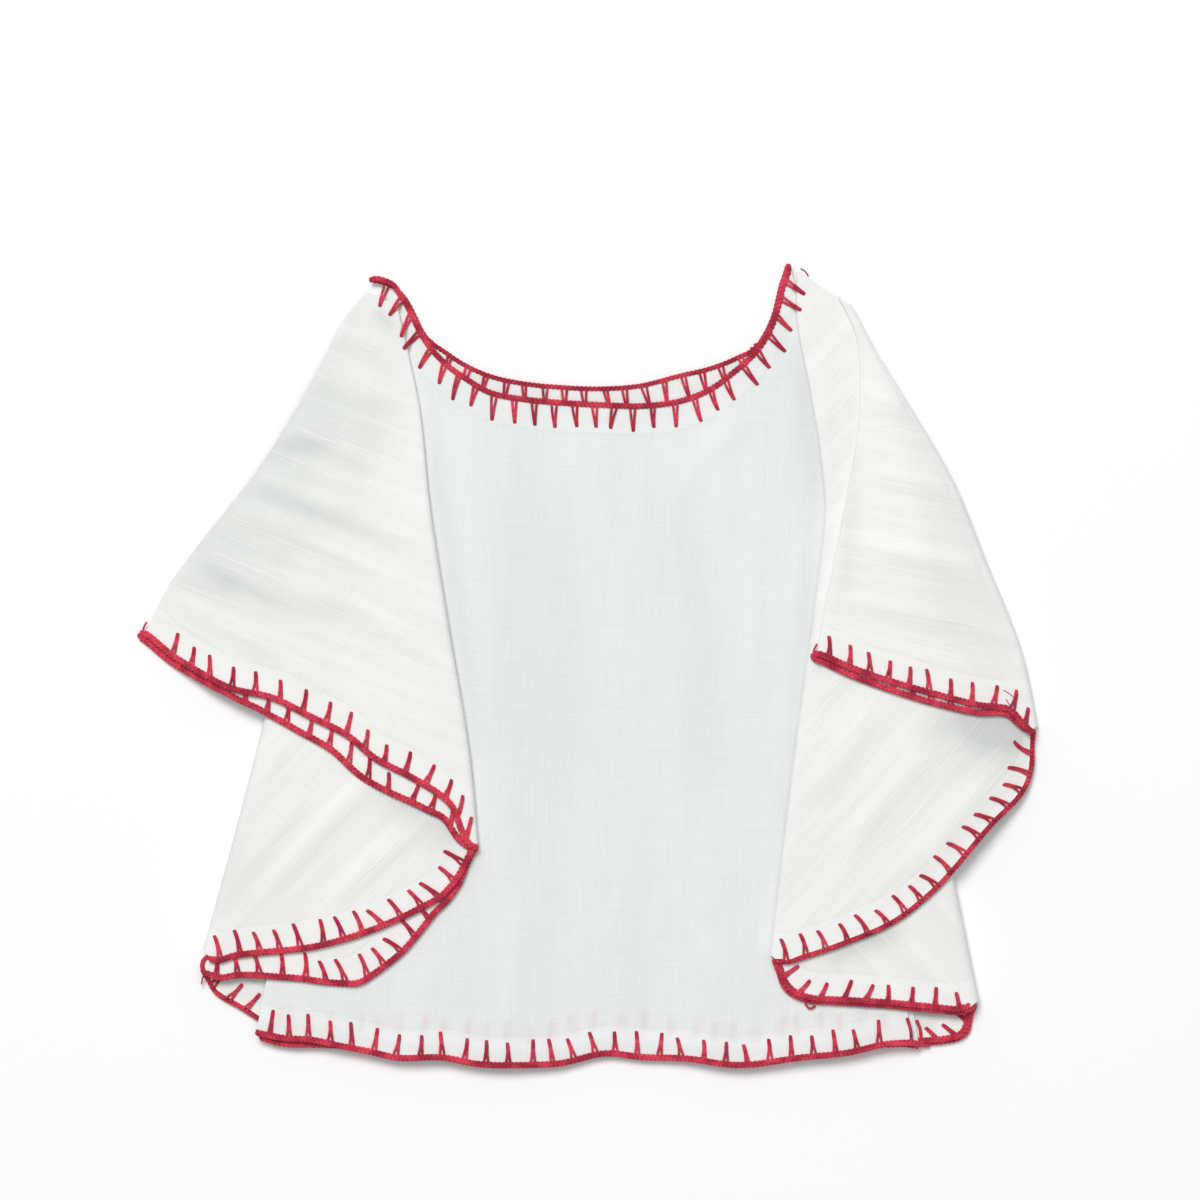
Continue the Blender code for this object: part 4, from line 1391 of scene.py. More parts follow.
@dataclass
class StitchRun:
    """A row of upside-down V stitches along an edge, in millimetres."""

    base: Array
    inward: Array
    height: Heights
    gap: float
    length: float
    room: Array
    pull: float
    hook: float
    lengths: tuple[float, float] = (0.88, 1.12)
    gaps: tuple[float, float] = (0.9, 1.1)
    lean_degrees: float = 5.0
    hook_change: float = 0.25
    least_room: float = 1.6
    least_slope: float = 0.4

    def places(self, rng: np.random.Generator) -> list["Stitch"]:
        """Where each stitch stands.

        Args:
            rng: The seeded source of small differences.

        Returns:
            The stitches, in order along the edge.
        """
        at = distances_along(self.base)
        along = unit(np.gradient(self.base, axis=0))
        found = []
        where = self.gap * 0.5
        while where < at[-1] - self.gap * 0.5:
            k = int(np.clip(np.searchsorted(at, where), 1, len(at) - 1))
            length = self.length * rng.uniform(*self.lengths)
            way = unit(self.inward[k] + np.array([0.0, np.sign(self.inward[k][1]) * self.pull]))
            turn = math.radians(rng.normal(0, self.lean_degrees))
            way = np.array([way[0] * math.cos(turn) - way[1] * math.sin(turn),
                            way[0] * math.sin(turn) + way[1] * math.cos(turn)])
            room = self.room[k] / max(self.least_slope, float(way @ self.inward[k]))
            if room > self.least_room:
                found.append(Stitch(self.base[k], along[k] * np.sign(along[k][0]), way, length,
                                    room, self.hook + rng.normal(0, self.hook_change)))
            where += self.gap * rng.uniform(*self.gaps)
        return found


@dataclass(frozen=True)
class Stitch:
    """One upside-down V: its foot on the chain, its ways in plan and its sizes."""

    foot: Array
    along: Array
    way: Array
    length: float
    room: float
    hook: float


@dataclass
class Tubes:
    """Round strands gathered into one mesh."""

    sides: int = 6
    sharp_from: float = 75.0
    vertices: list[Array] = field(default_factory=list)
    faces: list[tuple[int, ...]] = field(default_factory=list)
    strands: list[Array] = field(default_factory=list)
    tips: list[Array] = field(default_factory=list)
    count: int = 0

    def add(self, path: Array, radii: Array, closed: bool = False,
            tips: Array | None = None) -> None:
        """Adds one strand.

        Args:
            path: Its middle line, one point a row.
            radii: Its radius at each point.
            closed: Whether its end meets its start.
            tips: How much painted shade darkens each point, from 0 to 1, most near a stitch's tip.
        """
        shades = np.zeros(len(path)) if tips is None else tips
        self.tips.append(np.repeat(shades, self.sides))
        if closed:
            along = unit(np.roll(path, -1, axis=0) - np.roll(path, 1, axis=0))
        else:
            along = unit(np.gradient(path, axis=0))
        across = self.carried_frame(along)
        up = np.cross(across, along)
        angles = 2 * math.pi * (np.arange(self.sides) + 0.5) / self.sides
        spokes = (across[:, None] * np.cos(angles)[None, :, None]
                  + up[:, None] * np.sin(angles)[None, :, None])
        rings = path[:, None] + spokes * radii[:, None, None]
        self.vertices.append(rings.reshape(-1, 3))
        around = np.tile(np.arange(self.sides) / self.sides, len(path))
        run = np.repeat(distances_along(path), self.sides)
        self.strands.append(np.column_stack([around, run]))
        n, start = len(path), self.count
        for i in range(n if closed else n - 1):
            here, there = start + i * self.sides, start + (i + 1) % n * self.sides
            for k in range(self.sides):
                j = (k + 1) % self.sides
                self.faces.append((here + k, here + j, there + j, there + k))
        if not closed:
            last = start + (n - 1) * self.sides
            self.faces.append(tuple(start + k for k in reversed(range(self.sides))))
            self.faces.append(tuple(last + k for k in range(self.sides)))
        self.count += n * self.sides

    @staticmethod
    def carried_frame(along: Array) -> Array:
        """A unit vector across the path at each point, turned as little as the path allows.

        Args:
            along: The path's way at each point.

        Returns:
            One unit vector for each point.
        """
        side = np.cross(along[0], [0, 0, 1.0])
        if np.linalg.norm(side) < 1e-6:
            side = np.array([1.0, 0.0, 0.0])
        sides = []
        for way in along:
            side = side - way * (side @ way)
            side = side / np.linalg.norm(side)
            sides.append(side)
        return np.array(sides)

    def build(self, name: str, finish: Material) -> Object:
        """Makes the Blender object, in metres and in the frame.

        Args:
            name: The object's name.
            finish: Its material.

        Returns:
            The new object.
        """
        corners = np.concatenate(self.vertices) - BOX_CENTRE
        mesh, loop_vertex = new_mesh(name, corners, self.faces)
        strand = np.concatenate(self.strands)[loop_vertex]
        strand[:, 1] *= MILLIMETRE
        layer = mesh.uv_layers.new(name=STRAND)
        layer.data.foreach_set("uv", strand.ravel())
        return dressed_piece(mesh, finish, {PAINTED_YARN_SHADE: np.concatenate(self.tips)}, self.sharp_from)


@dataclass(frozen=True)
class Thread:
    """One loose strand of yarn, given in millimetres."""

    points: Array
    radius: float
    # Share of painted shade on the strand.
    dark: float


@dataclass
class CrochetEdge:
    """A braided chain along an edge, with its stitches."""

    name: str
    node: str
    paths: list[Array]
    runs: list[StitchRun]
    seed: int
    closed: bool = False
    slim_until: float = 0.0
    threads: tuple[Thread, ...] = ()
    strand_radius: float = 0.62
    half_width: float = 0.8
    half_height: float = 0.36
    period: float = 5.2
    steps_a_period: int = 12
    leg_radius: float = 0.58
    foot_spread: float = 0.95
    joined_spread: float = 0.3
    joined_from: float = 0.55
    slim_over: float = 0.02
    slim_by: float = 0.2
    slim_dark: float = 0.6
    leg_points: int = 11
    spreads: tuple[float, float] = (0.8, 1.25)
    foot_share: float = 0.25
    hook_power: float = 2.4
    point_from: float = 0.84
    point_over: float = 0.16
    point_slim: float = 0.3
    point_sink: float = 0.9
    leg_rise: float = 0.8
    leg_arch: float = 0.25
    dark_from: float = 0.55
    dark_over: float = 0.4

    def plait(self, tubes: Tubes, path: Array, closed: bool) -> None:
        """Adds three strands that cross over each other along a path.

        Args:
            tubes: Where they are gathered.
            path: The chain's middle line.
            closed: Whether its end meets its start.
        """
        knots = np.vstack([path, path[:1]]) if closed else path
        periods = max(2, round(length_of(knots) / self.period))
        line = resampled(knots, np.linspace(0, 1, periods * self.steps_a_period + 1))
        if closed:
            line = line[:-1]
            along = unit(np.roll(line, -1, axis=0) - np.roll(line, 1, axis=0))
        else:
            along = unit(np.gradient(line, axis=0))
        across = unit(np.cross(along, [0, 0, 1.0]))
        up = np.cross(across, along)
        turn = 2 * math.pi * np.arange(len(line)) / self.steps_a_period
        share = np.linspace(0, 1, len(line))
        # Painted shade: the chain's part up to slim_until is drawn slimmer and darker.
        slim = 0 * share
        if self.slim_until:
            slim = 1 - smooth_step((share - self.slim_until) / self.slim_over)
        size = 1 - self.slim_by * slim
        for k in range(3):
            phase = turn + 2 * math.pi * k / 3
            middle = (line + across * (self.half_width * size * np.sin(phase))[:, None]
                      + up * (self.half_height * np.sin(2 * phase))[:, None])
            tubes.add(middle, self.strand_radius * size, closed, self.slim_dark * slim)

    def legs(self, tubes: Tubes, run: StitchRun, stitch: Stitch,
             rng: np.random.Generator) -> None:
        """Adds the two legs of one stitch.

        Args:
            tubes: Where they are gathered.
            run: The row that the stitch belongs to.
            stitch: The stitch.
            rng: The seeded source of small differences.
        """
        last = min(1.0, stitch.room / stitch.length)
        t = np.linspace(0, 1, self.leg_points) * last
        spread = self.foot_spread * rng.uniform(*self.spreads)
        apart = mixed(spread, self.joined_spread, np.minimum(t / self.joined_from, 1.0))
        side = np.array([stitch.way[1], -stitch.way[0]])
        side = side * np.sign(side @ stitch.along)
        near_foot = 1 - smooth_step(t / self.foot_share)
        point = smooth_step((t - self.point_from) / self.point_over) * (last == 1.0)
        rise = self.leg_radius * (self.leg_rise + self.leg_arch * np.sin(math.pi * t)
                                  - self.point_sink * point)
        radii = self.leg_radius * (1 - self.point_slim * point)
        # Painted shade: the outer part of each leg, where the stitch dives into the cloth, is drawn
        # darker.
        dark = smooth_step((t - self.dark_from) / self.dark_over)
        for sign in (-1, 1):
            aside = sign * apart + stitch.hook * t**self.hook_power
            at_foot = (sign * spread * near_foot)[:, None]
            plan = (stitch.foot + stitch.way * (t * stitch.length)[:, None]
                    + side * aside[:, None] + stitch.along * at_foot - side * at_foot)
            tubes.add(np.column_stack([plan, run.height(plan) + rise]), radii, tips=dark)

    def build(self, finish: Material) -> Object:
        """Makes the edging.

        Args:
            finish: Its material.

        Returns:
            The new object.
        """
        rng = np.random.default_rng(self.seed)
        tubes = Tubes()
        for index, path in enumerate(self.paths):
            self.plait(tubes, path, self.closed and index == 0)
        for run in self.runs:
            for stitch in run.places(rng):
                self.legs(tubes, run, stitch, rng)
        for thread in self.threads:
            path = smooth_line(thread.points, OUTLINE_SAMPLES)
            tubes.add(path, np.full(len(path), thread.radius), tips=np.full(len(path), thread.dark))
        log.info("%s: %d faces", self.name, len(tubes.faces))
        return tubes.build(self.name, finish)


@dataclass(frozen=True)
class NodeBench:
    """A short way to place and link shader nodes."""

    tree: NodeTree
    noise_detail: float = 2.0

    def add(self, kind: str, label: str, **settings: object) -> Node:
        """A new node with its settings.

        Args:
            kind: The node's type.
            label: What it is for.
            settings: Its properties.

        Returns:
            The node.
        """
        node = self.tree.nodes.new(kind)
        node.label = label
        for key, value in settings.items():
            setattr(node, key, value)
        return node

    def feed(self, target: Node, socket: str | int, source: object) -> None:
        """Links a socket to another, or gives it a plain value.

        Args:
            target: The node that takes the value.
            socket: Its input.
            source: A socket or a plain value.
        """
        if isinstance(source, NodeSocket):
            self.tree.links.new(source, target.inputs[socket])
        else:
            target.inputs[socket].default_value = source

    def maths(self, operation: str, a: object, b: object, label: str) -> NodeSocket:
        """The result of one sum.

        Args:
            operation: The sum's name.
            a: Its first value.
            b: Its second value.
            label: What it is for.

        Returns:
            Its output.
        """
        node = self.add("ShaderNodeMath", label, operation=operation)
        self.feed(node, 0, a)
        self.feed(node, 1, b)
        return node.outputs[0]

    def blend(self, share: object, a: object, b: object, label: str) -> NodeSocket:
        """A mix of two colours.

        Args:
            share: How much of the second colour.
            a: The first colour.
            b: The second colour.
            label: What it is for.

        Returns:
            Its output.
        """
        node = self.add("ShaderNodeMix", label, data_type="RGBA")
        self.feed(node, 0, share)
        self.feed(node, 6, a)
        self.feed(node, 7, b)
        return node.outputs[2]

    def plus(self, total: object, value: object, share: float, label: str) -> NodeSocket:
        """The total with this share of a value added."""
        part = self.maths("MULTIPLY", value, share, f"share of {label}")
        return self.maths("ADD", total, part, f"with {label}")

    def noise(self, vector: object, stretch: tuple[float, float, float],
              label: str) -> NodeSocket:
        """Stretched noise over a plan in millimetres.

        Args:
            vector: The plan.
            stretch: Its scale along each axis.
            label: What it is for.

        Returns:
            Its output.
        """
        scaled = self.add("ShaderNodeVectorMath", label, operation="MULTIPLY")
        self.feed(scaled, 0, vector)
        scaled.inputs[1].default_value = stretch
        node = self.add("ShaderNodeTexNoise", label, noise_dimensions="2D")
        self.feed(node, "Vector", scaled.outputs[0])
        node.inputs["Scale"].default_value = 1.0
        node.inputs["Detail"].default_value = self.noise_detail
        return node.outputs[0]

    def ramp(self, value: object, low: float, high: float, label: str) -> NodeSocket:
        """0 below low and 1 above high, with a soft step between.

        Args:
            value: What is tested.
            low: Where the step starts.
            high: Where it ends.
            label: What it is for.

        Returns:
            Its output.
        """
        node = self.add("ShaderNodeMapRange", label, interpolation_type="SMOOTHSTEP")
        self.feed(node, 0, value)
        node.inputs[1].default_value = low
        node.inputs[2].default_value = high
        return node.outputs[0]

    def surface(self, shader: Node, color: object, height: object, strength: float,
                millimetres: float) -> None:
        """Gives a shader its colour and its relief.

        Args:
            shader: The shader.
            color: Its colour.
            height: The relief.
            strength: The relief's strength.
            millimetres: The relief's depth.
        """
        bump = self.add("ShaderNodeBump", "threads in relief")
        bump.inputs["Strength"].default_value = strength
        bump.inputs["Distance"].default_value = millimetres * MILLIMETRE
        self.feed(bump, "Height", height)
        self.feed(shader, "Base Color", color)
        self.feed(shader, "Normal", bump.outputs[0])


def new_material(name: str) -> tuple[Material, NodeBench, Node]:
    """A new material.

    Args:
        name: The material's name.

    Returns:
        The material, its bench and its shader.
    """
    material = bpy.data.materials.new(name)
    material.use_nodes = True
    shader = next(node for node in material.node_tree.nodes if node.type == "BSDF_PRINCIPLED")
    return material, NodeBench(material.node_tree), shader


def new_group(name: str, inputs: dict[str, str],
              outputs: dict[str, str]) -> tuple[NodeTree, NodeBench, Node, Node]:
    """An empty shader node group with its sockets.

    Args:
        name: The group's name.
        inputs: Socket names with their types.
        outputs: Socket names with their types.

    Returns:
        The group, its bench, its input node and its output node.
    """
    tree = bpy.data.node_groups.new(name, "ShaderNodeTree")
    for title, kind in inputs.items():
        tree.interface.new_socket(name=title, in_out="INPUT", socket_type=kind)
    for title, kind in outputs.items():
        tree.interface.new_socket(name=title, in_out="OUTPUT", socket_type=kind)
    bench = NodeBench(tree)
    return tree, bench, bench.add("NodeGroupInput", "in"), bench.add("NodeGroupOutput", "out")


def slub_weave_group() -> NodeTree:
    """Plain weave with thick slub threads, soft mottling, a denser turned hem, a painted shade line
    along the hem's turn and the painted shade of the grey patches it is given.

    Returns:
        The group.
    """
    tree, bench, given, out = new_group(
        "slub_weave",
        {"Grain": "NodeSocketVector", "Ground": "NodeSocketColor", "Shade": "NodeSocketColor",
         "Slub": "NodeSocketColor", "Slub Amount": "NodeSocketFloat",
         "Weave Amount": "NodeSocketFloat", "Hem Distance": "NodeSocketFloat",
         "Painted Shade": "NodeSocketFloat"},
        {"Color": "NodeSocketColor", "Height": "NodeSocketFloat"})
    to_mm = bench.add("ShaderNodeVectorMath", "to millimetres", operation="SCALE")
    bench.feed(to_mm, 0, given.outputs["Grain"])
    to_mm.inputs["Scale"].default_value = 1000.0
    plan = to_mm.outputs[0]
    weft = bench.noise(plan, (0.06, 1.75, 1.0), "weft threads")
    warp = bench.noise(plan, (1.6, 0.05, 1.0), "warp threads")
    threads = bench.maths("MULTIPLY_ADD", warp, 0.5, "threads")
    bench.feed(threads.node, 2, bench.maths("MULTIPLY", weft, 0.5, "weft share"))
    slub_noise = bench.noise(plan, (0.011, 0.8, 1.0), "slub threads")
    slubs = bench.ramp(slub_noise, 0.64, 0.72, "slub mask")
    thin_noise = bench.noise(plan, (0.01, 0.16, 1.0), "thin places")
    thin = bench.ramp(thin_noise, 0.62, 0.42, "thin mask")
    mottle = bench.ramp(bench.noise(plan, (0.009, 0.036, 1.0), "mottling"), 0.36, 0.7,
                        "mottle mask")
    hem = bench.ramp(given.outputs["Hem Distance"], 11.6, 9.0, "turned hem")
    contrast = bench.ramp(threads, 0.34, 0.66, "thread contrast")
    dark = bench.maths("SUBTRACT", 1.0, contrast, "gaps between threads")
    dark = bench.maths("MULTIPLY", dark, given.outputs["Weave Amount"], "weave depth")
    slub_share = bench.maths("MULTIPLY", slubs, given.outputs["Slub Amount"], "slub depth")
    thin_share = bench.maths("MULTIPLY", thin, given.outputs["Slub Amount"], "thin depth")
    tone = bench.plus(dark, mottle, 0.09, "mottling")
    tone = bench.plus(tone, thin_share, 0.35, "thin places")
    open_cloth = bench.maths("SUBTRACT", 1.0, bench.maths("MULTIPLY", hem, 0.3, "hem share"),
                             "single cloth")
    tone = bench.maths("MULTIPLY", tone, open_cloth, "shade off the hem")
    # Painted shade: the grey patches push the cloth towards its Shade colour.
    tone = bench.maths("ADD", tone, given.outputs["Painted Shade"], "shade with grey places")
    # Painted shade: a faint dark line along the edge of the turned hem.
    off_line = bench.maths("SUBTRACT", given.outputs["Hem Distance"], 10.8, "off the turn")
    from_line = bench.maths("ABSOLUTE", off_line, 0.0, "from the turn")
    tone = bench.plus(tone, bench.ramp(from_line, 0.9, 0.0, "turn line"), 0.14, "the turn's line")
    base = bench.blend(tone, given.outputs["Ground"], given.outputs["Shade"], "cloth")
    lit = bench.blend(slub_share, base, given.outputs["Slub"], "slubs")
    color = bench.blend(bench.maths("MULTIPLY", hem, 0.1, "hem white"), lit,
                        given.outputs["Slub"], "hem")
    height = bench.maths("MULTIPLY", contrast, 0.35, "weave height")
    height = bench.plus(height, slubs, 0.5, "slub height")
    height = bench.plus(height, hem, 0.6, "hem height")
    crinkle = bench.noise(plan, (0.05, 0.16, 1.0), "crinkle")
    height = bench.plus(height, crinkle, 2.6, "crinkle height")
    bench.feed(out, "Color", color)
    bench.feed(out, "Height", height)
    return tree


def twisted_yarn_group() -> NodeTree:
    """Twisted plies of a yarn, with uneven dye, painted shade in the grooves between plies, and
    painted shade given by the mesh, most at stitch tips.

    Returns:
        The group.
    """
    tree, bench, given, out = new_group(
        "twisted_yarn",
        {"Strand": "NodeSocketVector", "Light": "NodeSocketColor", "Dark": "NodeSocketColor",
         "Plies": "NodeSocketFloat", "Turns": "NodeSocketFloat", "Painted Yarn Shade": "NodeSocketFloat"},
        {"Color": "NodeSocketColor", "Height": "NodeSocketFloat"})
    parts = bench.add("ShaderNodeSeparateXYZ", "round and along")
    bench.feed(parts, 0, given.outputs["Strand"])
    around = bench.maths("MULTIPLY", parts.outputs[0], given.outputs["Plies"], "round")
    along = bench.maths("MULTIPLY", parts.outputs[1], given.outputs["Turns"], "along")
    turn = bench.maths("MULTIPLY", bench.maths("ADD", around, along, "twist"), 2 * math.pi,
                       "twist angle")
    wave = bench.maths("SINE", turn, 0.0, "ply wave")
    ply = bench.maths("MULTIPLY_ADD", wave, 0.5, "ply height")
    bench.feed(ply.node, 2, 0.5)
    place = bench.add("ShaderNodeTexCoord", "place")
    fibre = bench.add("ShaderNodeTexNoise", "uneven dye")
    bench.feed(fibre, "Vector", place.outputs["Object"])
    fibre.inputs["Scale"].default_value = 160.0
    fibre.inputs["Detail"].default_value = 3.0
    dye = bench.ramp(fibre.outputs[0], 0.36, 0.66, "dye")
    # Painted shade: the grooves between the plies are drawn darker.
    painted_groove_shade = bench.maths("MULTIPLY_ADD", ply, 0.5, "ply share")
    bench.feed(painted_groove_shade.node, 2, 0.5)
    share = bench.maths("MULTIPLY", painted_groove_shade, dye, "light share")
    # Painted shade: the given shade takes up to 45% off the yarn's light share.
    painted_shade_drop = bench.maths("MULTIPLY", given.outputs["Painted Yarn Shade"], -0.45, "tip shade")
    share = bench.maths("MULTIPLY", share, bench.maths("ADD", painted_shade_drop, 1.0, "tip light"),
                        "light off the tip")
    color = bench.blend(share, given.outputs["Dark"], given.outputs["Light"], "yarn")
    bench.feed(out, "Color", color)
    bench.feed(out, "Height", ply)
    return tree


@dataclass(frozen=True)
class Gauze:
    """Slub cotton gauze, off-white and matt."""

    name: str
    ground: Colour
    shade: Colour
    slub: Colour
    slub_amount: float
    weave_amount: float
    blush: Colour = (0.62, 0.2, 0.24, 1.0)
    blush_share: float = 0.2
    roughness: float = 0.92
    specular: float = 0.15
    sheen: float = 0.12
    sheen_roughness: float = 0.6
    bump_mm: float = 0.16
    bump_strength: float = 0.6

    def material(self, weave: NodeTree) -> Material:
        """Builds the material.

        Args:
            weave: The slub weave group.

        Returns:
            The new material.
        """
        material, bench, shader = new_material(self.name)
        grain = bench.add("ShaderNodeUVMap", "grain", uv_map=GRAIN)
        hem = bench.add("ShaderNodeAttribute", "hem distance", attribute_name=HEM_DISTANCE)
        shown = bench.add("ShaderNodeAttribute", "show-through", attribute_name=SHOW_THROUGH)
        # Painted shade of the grey patches, from the mesh.
        tone = bench.add("ShaderNodeAttribute", "grey places", attribute_name=PAINTED_SHADE)
        cloth = bench.add("ShaderNodeGroup", "weave", node_tree=weave)
        for socket, source in (("Painted Shade", tone.outputs["Fac"]), ("Grain", grain.outputs[0]),
                               ("Ground", self.ground), ("Shade", self.shade),
                               ("Slub", self.slub), ("Slub Amount", self.slub_amount),
                               ("Weave Amount", self.weave_amount),
                               ("Hem Distance", hem.outputs["Fac"])):
            bench.feed(cloth, socket, source)
        pink = bench.maths("MULTIPLY", shown.outputs["Fac"], self.blush_share,
                           "faint show-through")
        color = bench.blend(pink, cloth.outputs["Color"], self.blush, "cloth colour")
        bench.surface(shader, color, cloth.outputs["Height"], self.bump_strength, self.bump_mm)
        shader.inputs["Roughness"].default_value = self.roughness
        shader.inputs["Specular IOR Level"].default_value = self.specular
        shader.inputs["Sheen Weight"].default_value = self.sheen
        shader.inputs["Sheen Roughness"].default_value = self.sheen_roughness
        return material


@dataclass(frozen=True)
class Yarn:
    """Twisted crochet cotton."""

    name: str = "crimson_yarn"
    light: Colour = (0.78, 0.065, 0.11, 1.0)
    dark: Colour = (0.37, 0.018, 0.045, 1.0)
    plies: float = 2.0
    turns: float = 480.0
    roughness: float = 0.75
    specular: float = 0.2
    sheen: float = 0.25
    sheen_tint: Colour = (1.0, 0.55, 0.6, 1.0)
    bump_mm: float = 0.12
    bump_strength: float = 0.5

    def material(self, twist: NodeTree) -> Material:
        """Builds the material.

        Args:
            twist: The twisted yarn group.

        Returns:
            The new material.
        """
        material, bench, shader = new_material(self.name)
        strand = bench.add("ShaderNodeUVMap", "strand", uv_map=STRAND)
        yarn = bench.add("ShaderNodeGroup", "twist", node_tree=twist)
        # Painted shade of the yarn, from the mesh.
        tip = bench.add("ShaderNodeAttribute", "tip", attribute_name=PAINTED_YARN_SHADE)
        for socket, source in (("Strand", strand.outputs[0]), ("Light", self.light),
                               ("Dark", self.dark), ("Plies", self.plies),
                               ("Turns", self.turns), ("Painted Yarn Shade", tip.outputs["Fac"])):
            bench.feed(yarn, socket, source)
        bench.surface(shader, yarn.outputs["Color"], yarn.outputs["Height"], self.bump_strength,
                      self.bump_mm)
        shader.inputs["Roughness"].default_value = self.roughness
        shader.inputs["Specular IOR Level"].default_value = self.specular
        shader.inputs["Sheen Weight"].default_value = self.sheen
        shader.inputs["Sheen Tint"].default_value = self.sheen_tint
        return material


@dataclass
class Studio:
    """Pale floor, soft light and a camera straight above the garment."""

    view_centre: tuple[float, float] = (4.64, 25.63)
    view_width: float = 480.0
    mid_height: float = 6.0
    camera_height: float = 2.4
    sensor: float = 36.0
    floor_drop: float = 0.25
    floor_half: float = 6.0
    world_strength: float = 0.36

    def floor(self) -> None:
        """A wide plain floor just below the garment."""
        mesh = bpy.data.meshes.new("floor")
        half, low = self.floor_half, -self.floor_drop * MILLIMETRE
        mesh.from_pydata([(-half, -half, low), (half, -half, low), (half, half, low),
                          (-half, half, low)], [], [(0, 1, 2, 3)])
        material, bench, shader = new_material("pale_floor")
        place = bench.add("ShaderNodeTexCoord", "place")
        noise = bench.add("ShaderNodeTexNoise", "paper tone")
        bench.feed(noise, "Vector", place.outputs["Object"])
        noise.inputs["Scale"].default_value = 3.0
        color = bench.blend(noise.outputs[0], (0.93, 0.93, 0.93, 1.0), (0.95, 0.95, 0.95, 1.0),
                            "paper")
        bench.feed(shader, "Base Color", color)
        shader.inputs["Roughness"].default_value = 0.9
        shader.inputs["Specular IOR Level"].default_value = 0.1
        mesh.materials.append(material)
        floor = bpy.data.objects.new("floor", mesh)
        bpy.context.scene.collection.objects.link(floor)

    def camera(self) -> None:
        """A long lens that looks straight down, with the neck at the top."""
        data = bpy.data.cameras.new("camera")
        data.sensor_width = self.sensor
        data.lens = self.sensor * self.camera_height / (self.view_width * MILLIMETRE)
        camera = bpy.data.objects.new("camera", data)
        camera.location = (self.view_centre[0] * MILLIMETRE, self.view_centre[1] * MILLIMETRE,
                           self.camera_height + self.mid_height * MILLIMETRE)
        bpy.context.scene.collection.objects.link(camera)
        bpy.context.scene.camera = camera

    def light(self, name: str, place: tuple[float, float, float], size: float,
              power: float) -> None:
        """One square soft light, aimed at the garment.

        Args:
            name: The light's name.
            place: Where it hangs, in metres.
            size: Its side, in metres.
            power: Its power in watts.
        """
        data = bpy.data.lights.new(name, "AREA")
        data.size = size
        data.energy = power
        lamp = bpy.data.objects.new(name, data)
        lamp.location = place
        aim = -np.array(place)
        lamp.rotation_euler = (math.acos(-aim[2] / np.linalg.norm(aim)), 0.0,
                               math.atan2(-aim[0], aim[1]))
        bpy.context.scene.collection.objects.link(lamp)

    def build(self) -> None:
        """Makes the whole stage."""
        self.floor()
        self.camera()
        self.light("soft_key", (-0.9, 2.1, 4.0), size=1.8, power=140.0)
        self.light("soft_top", (0.3, 0.2, 2.6), size=1.8, power=12.0)
        world = bpy.data.worlds.new("soft_world")
        world.use_nodes = True
        ground = world.node_tree.nodes["Background"]
        ground.inputs[0].default_value = (1.0, 1.0, 1.0, 1.0)
        ground.inputs[1].default_value = self.world_strength
        scene = bpy.context.scene
        scene.world = world
        scene.view_settings.view_transform = "Standard"
        scene.view_settings.look = "None"


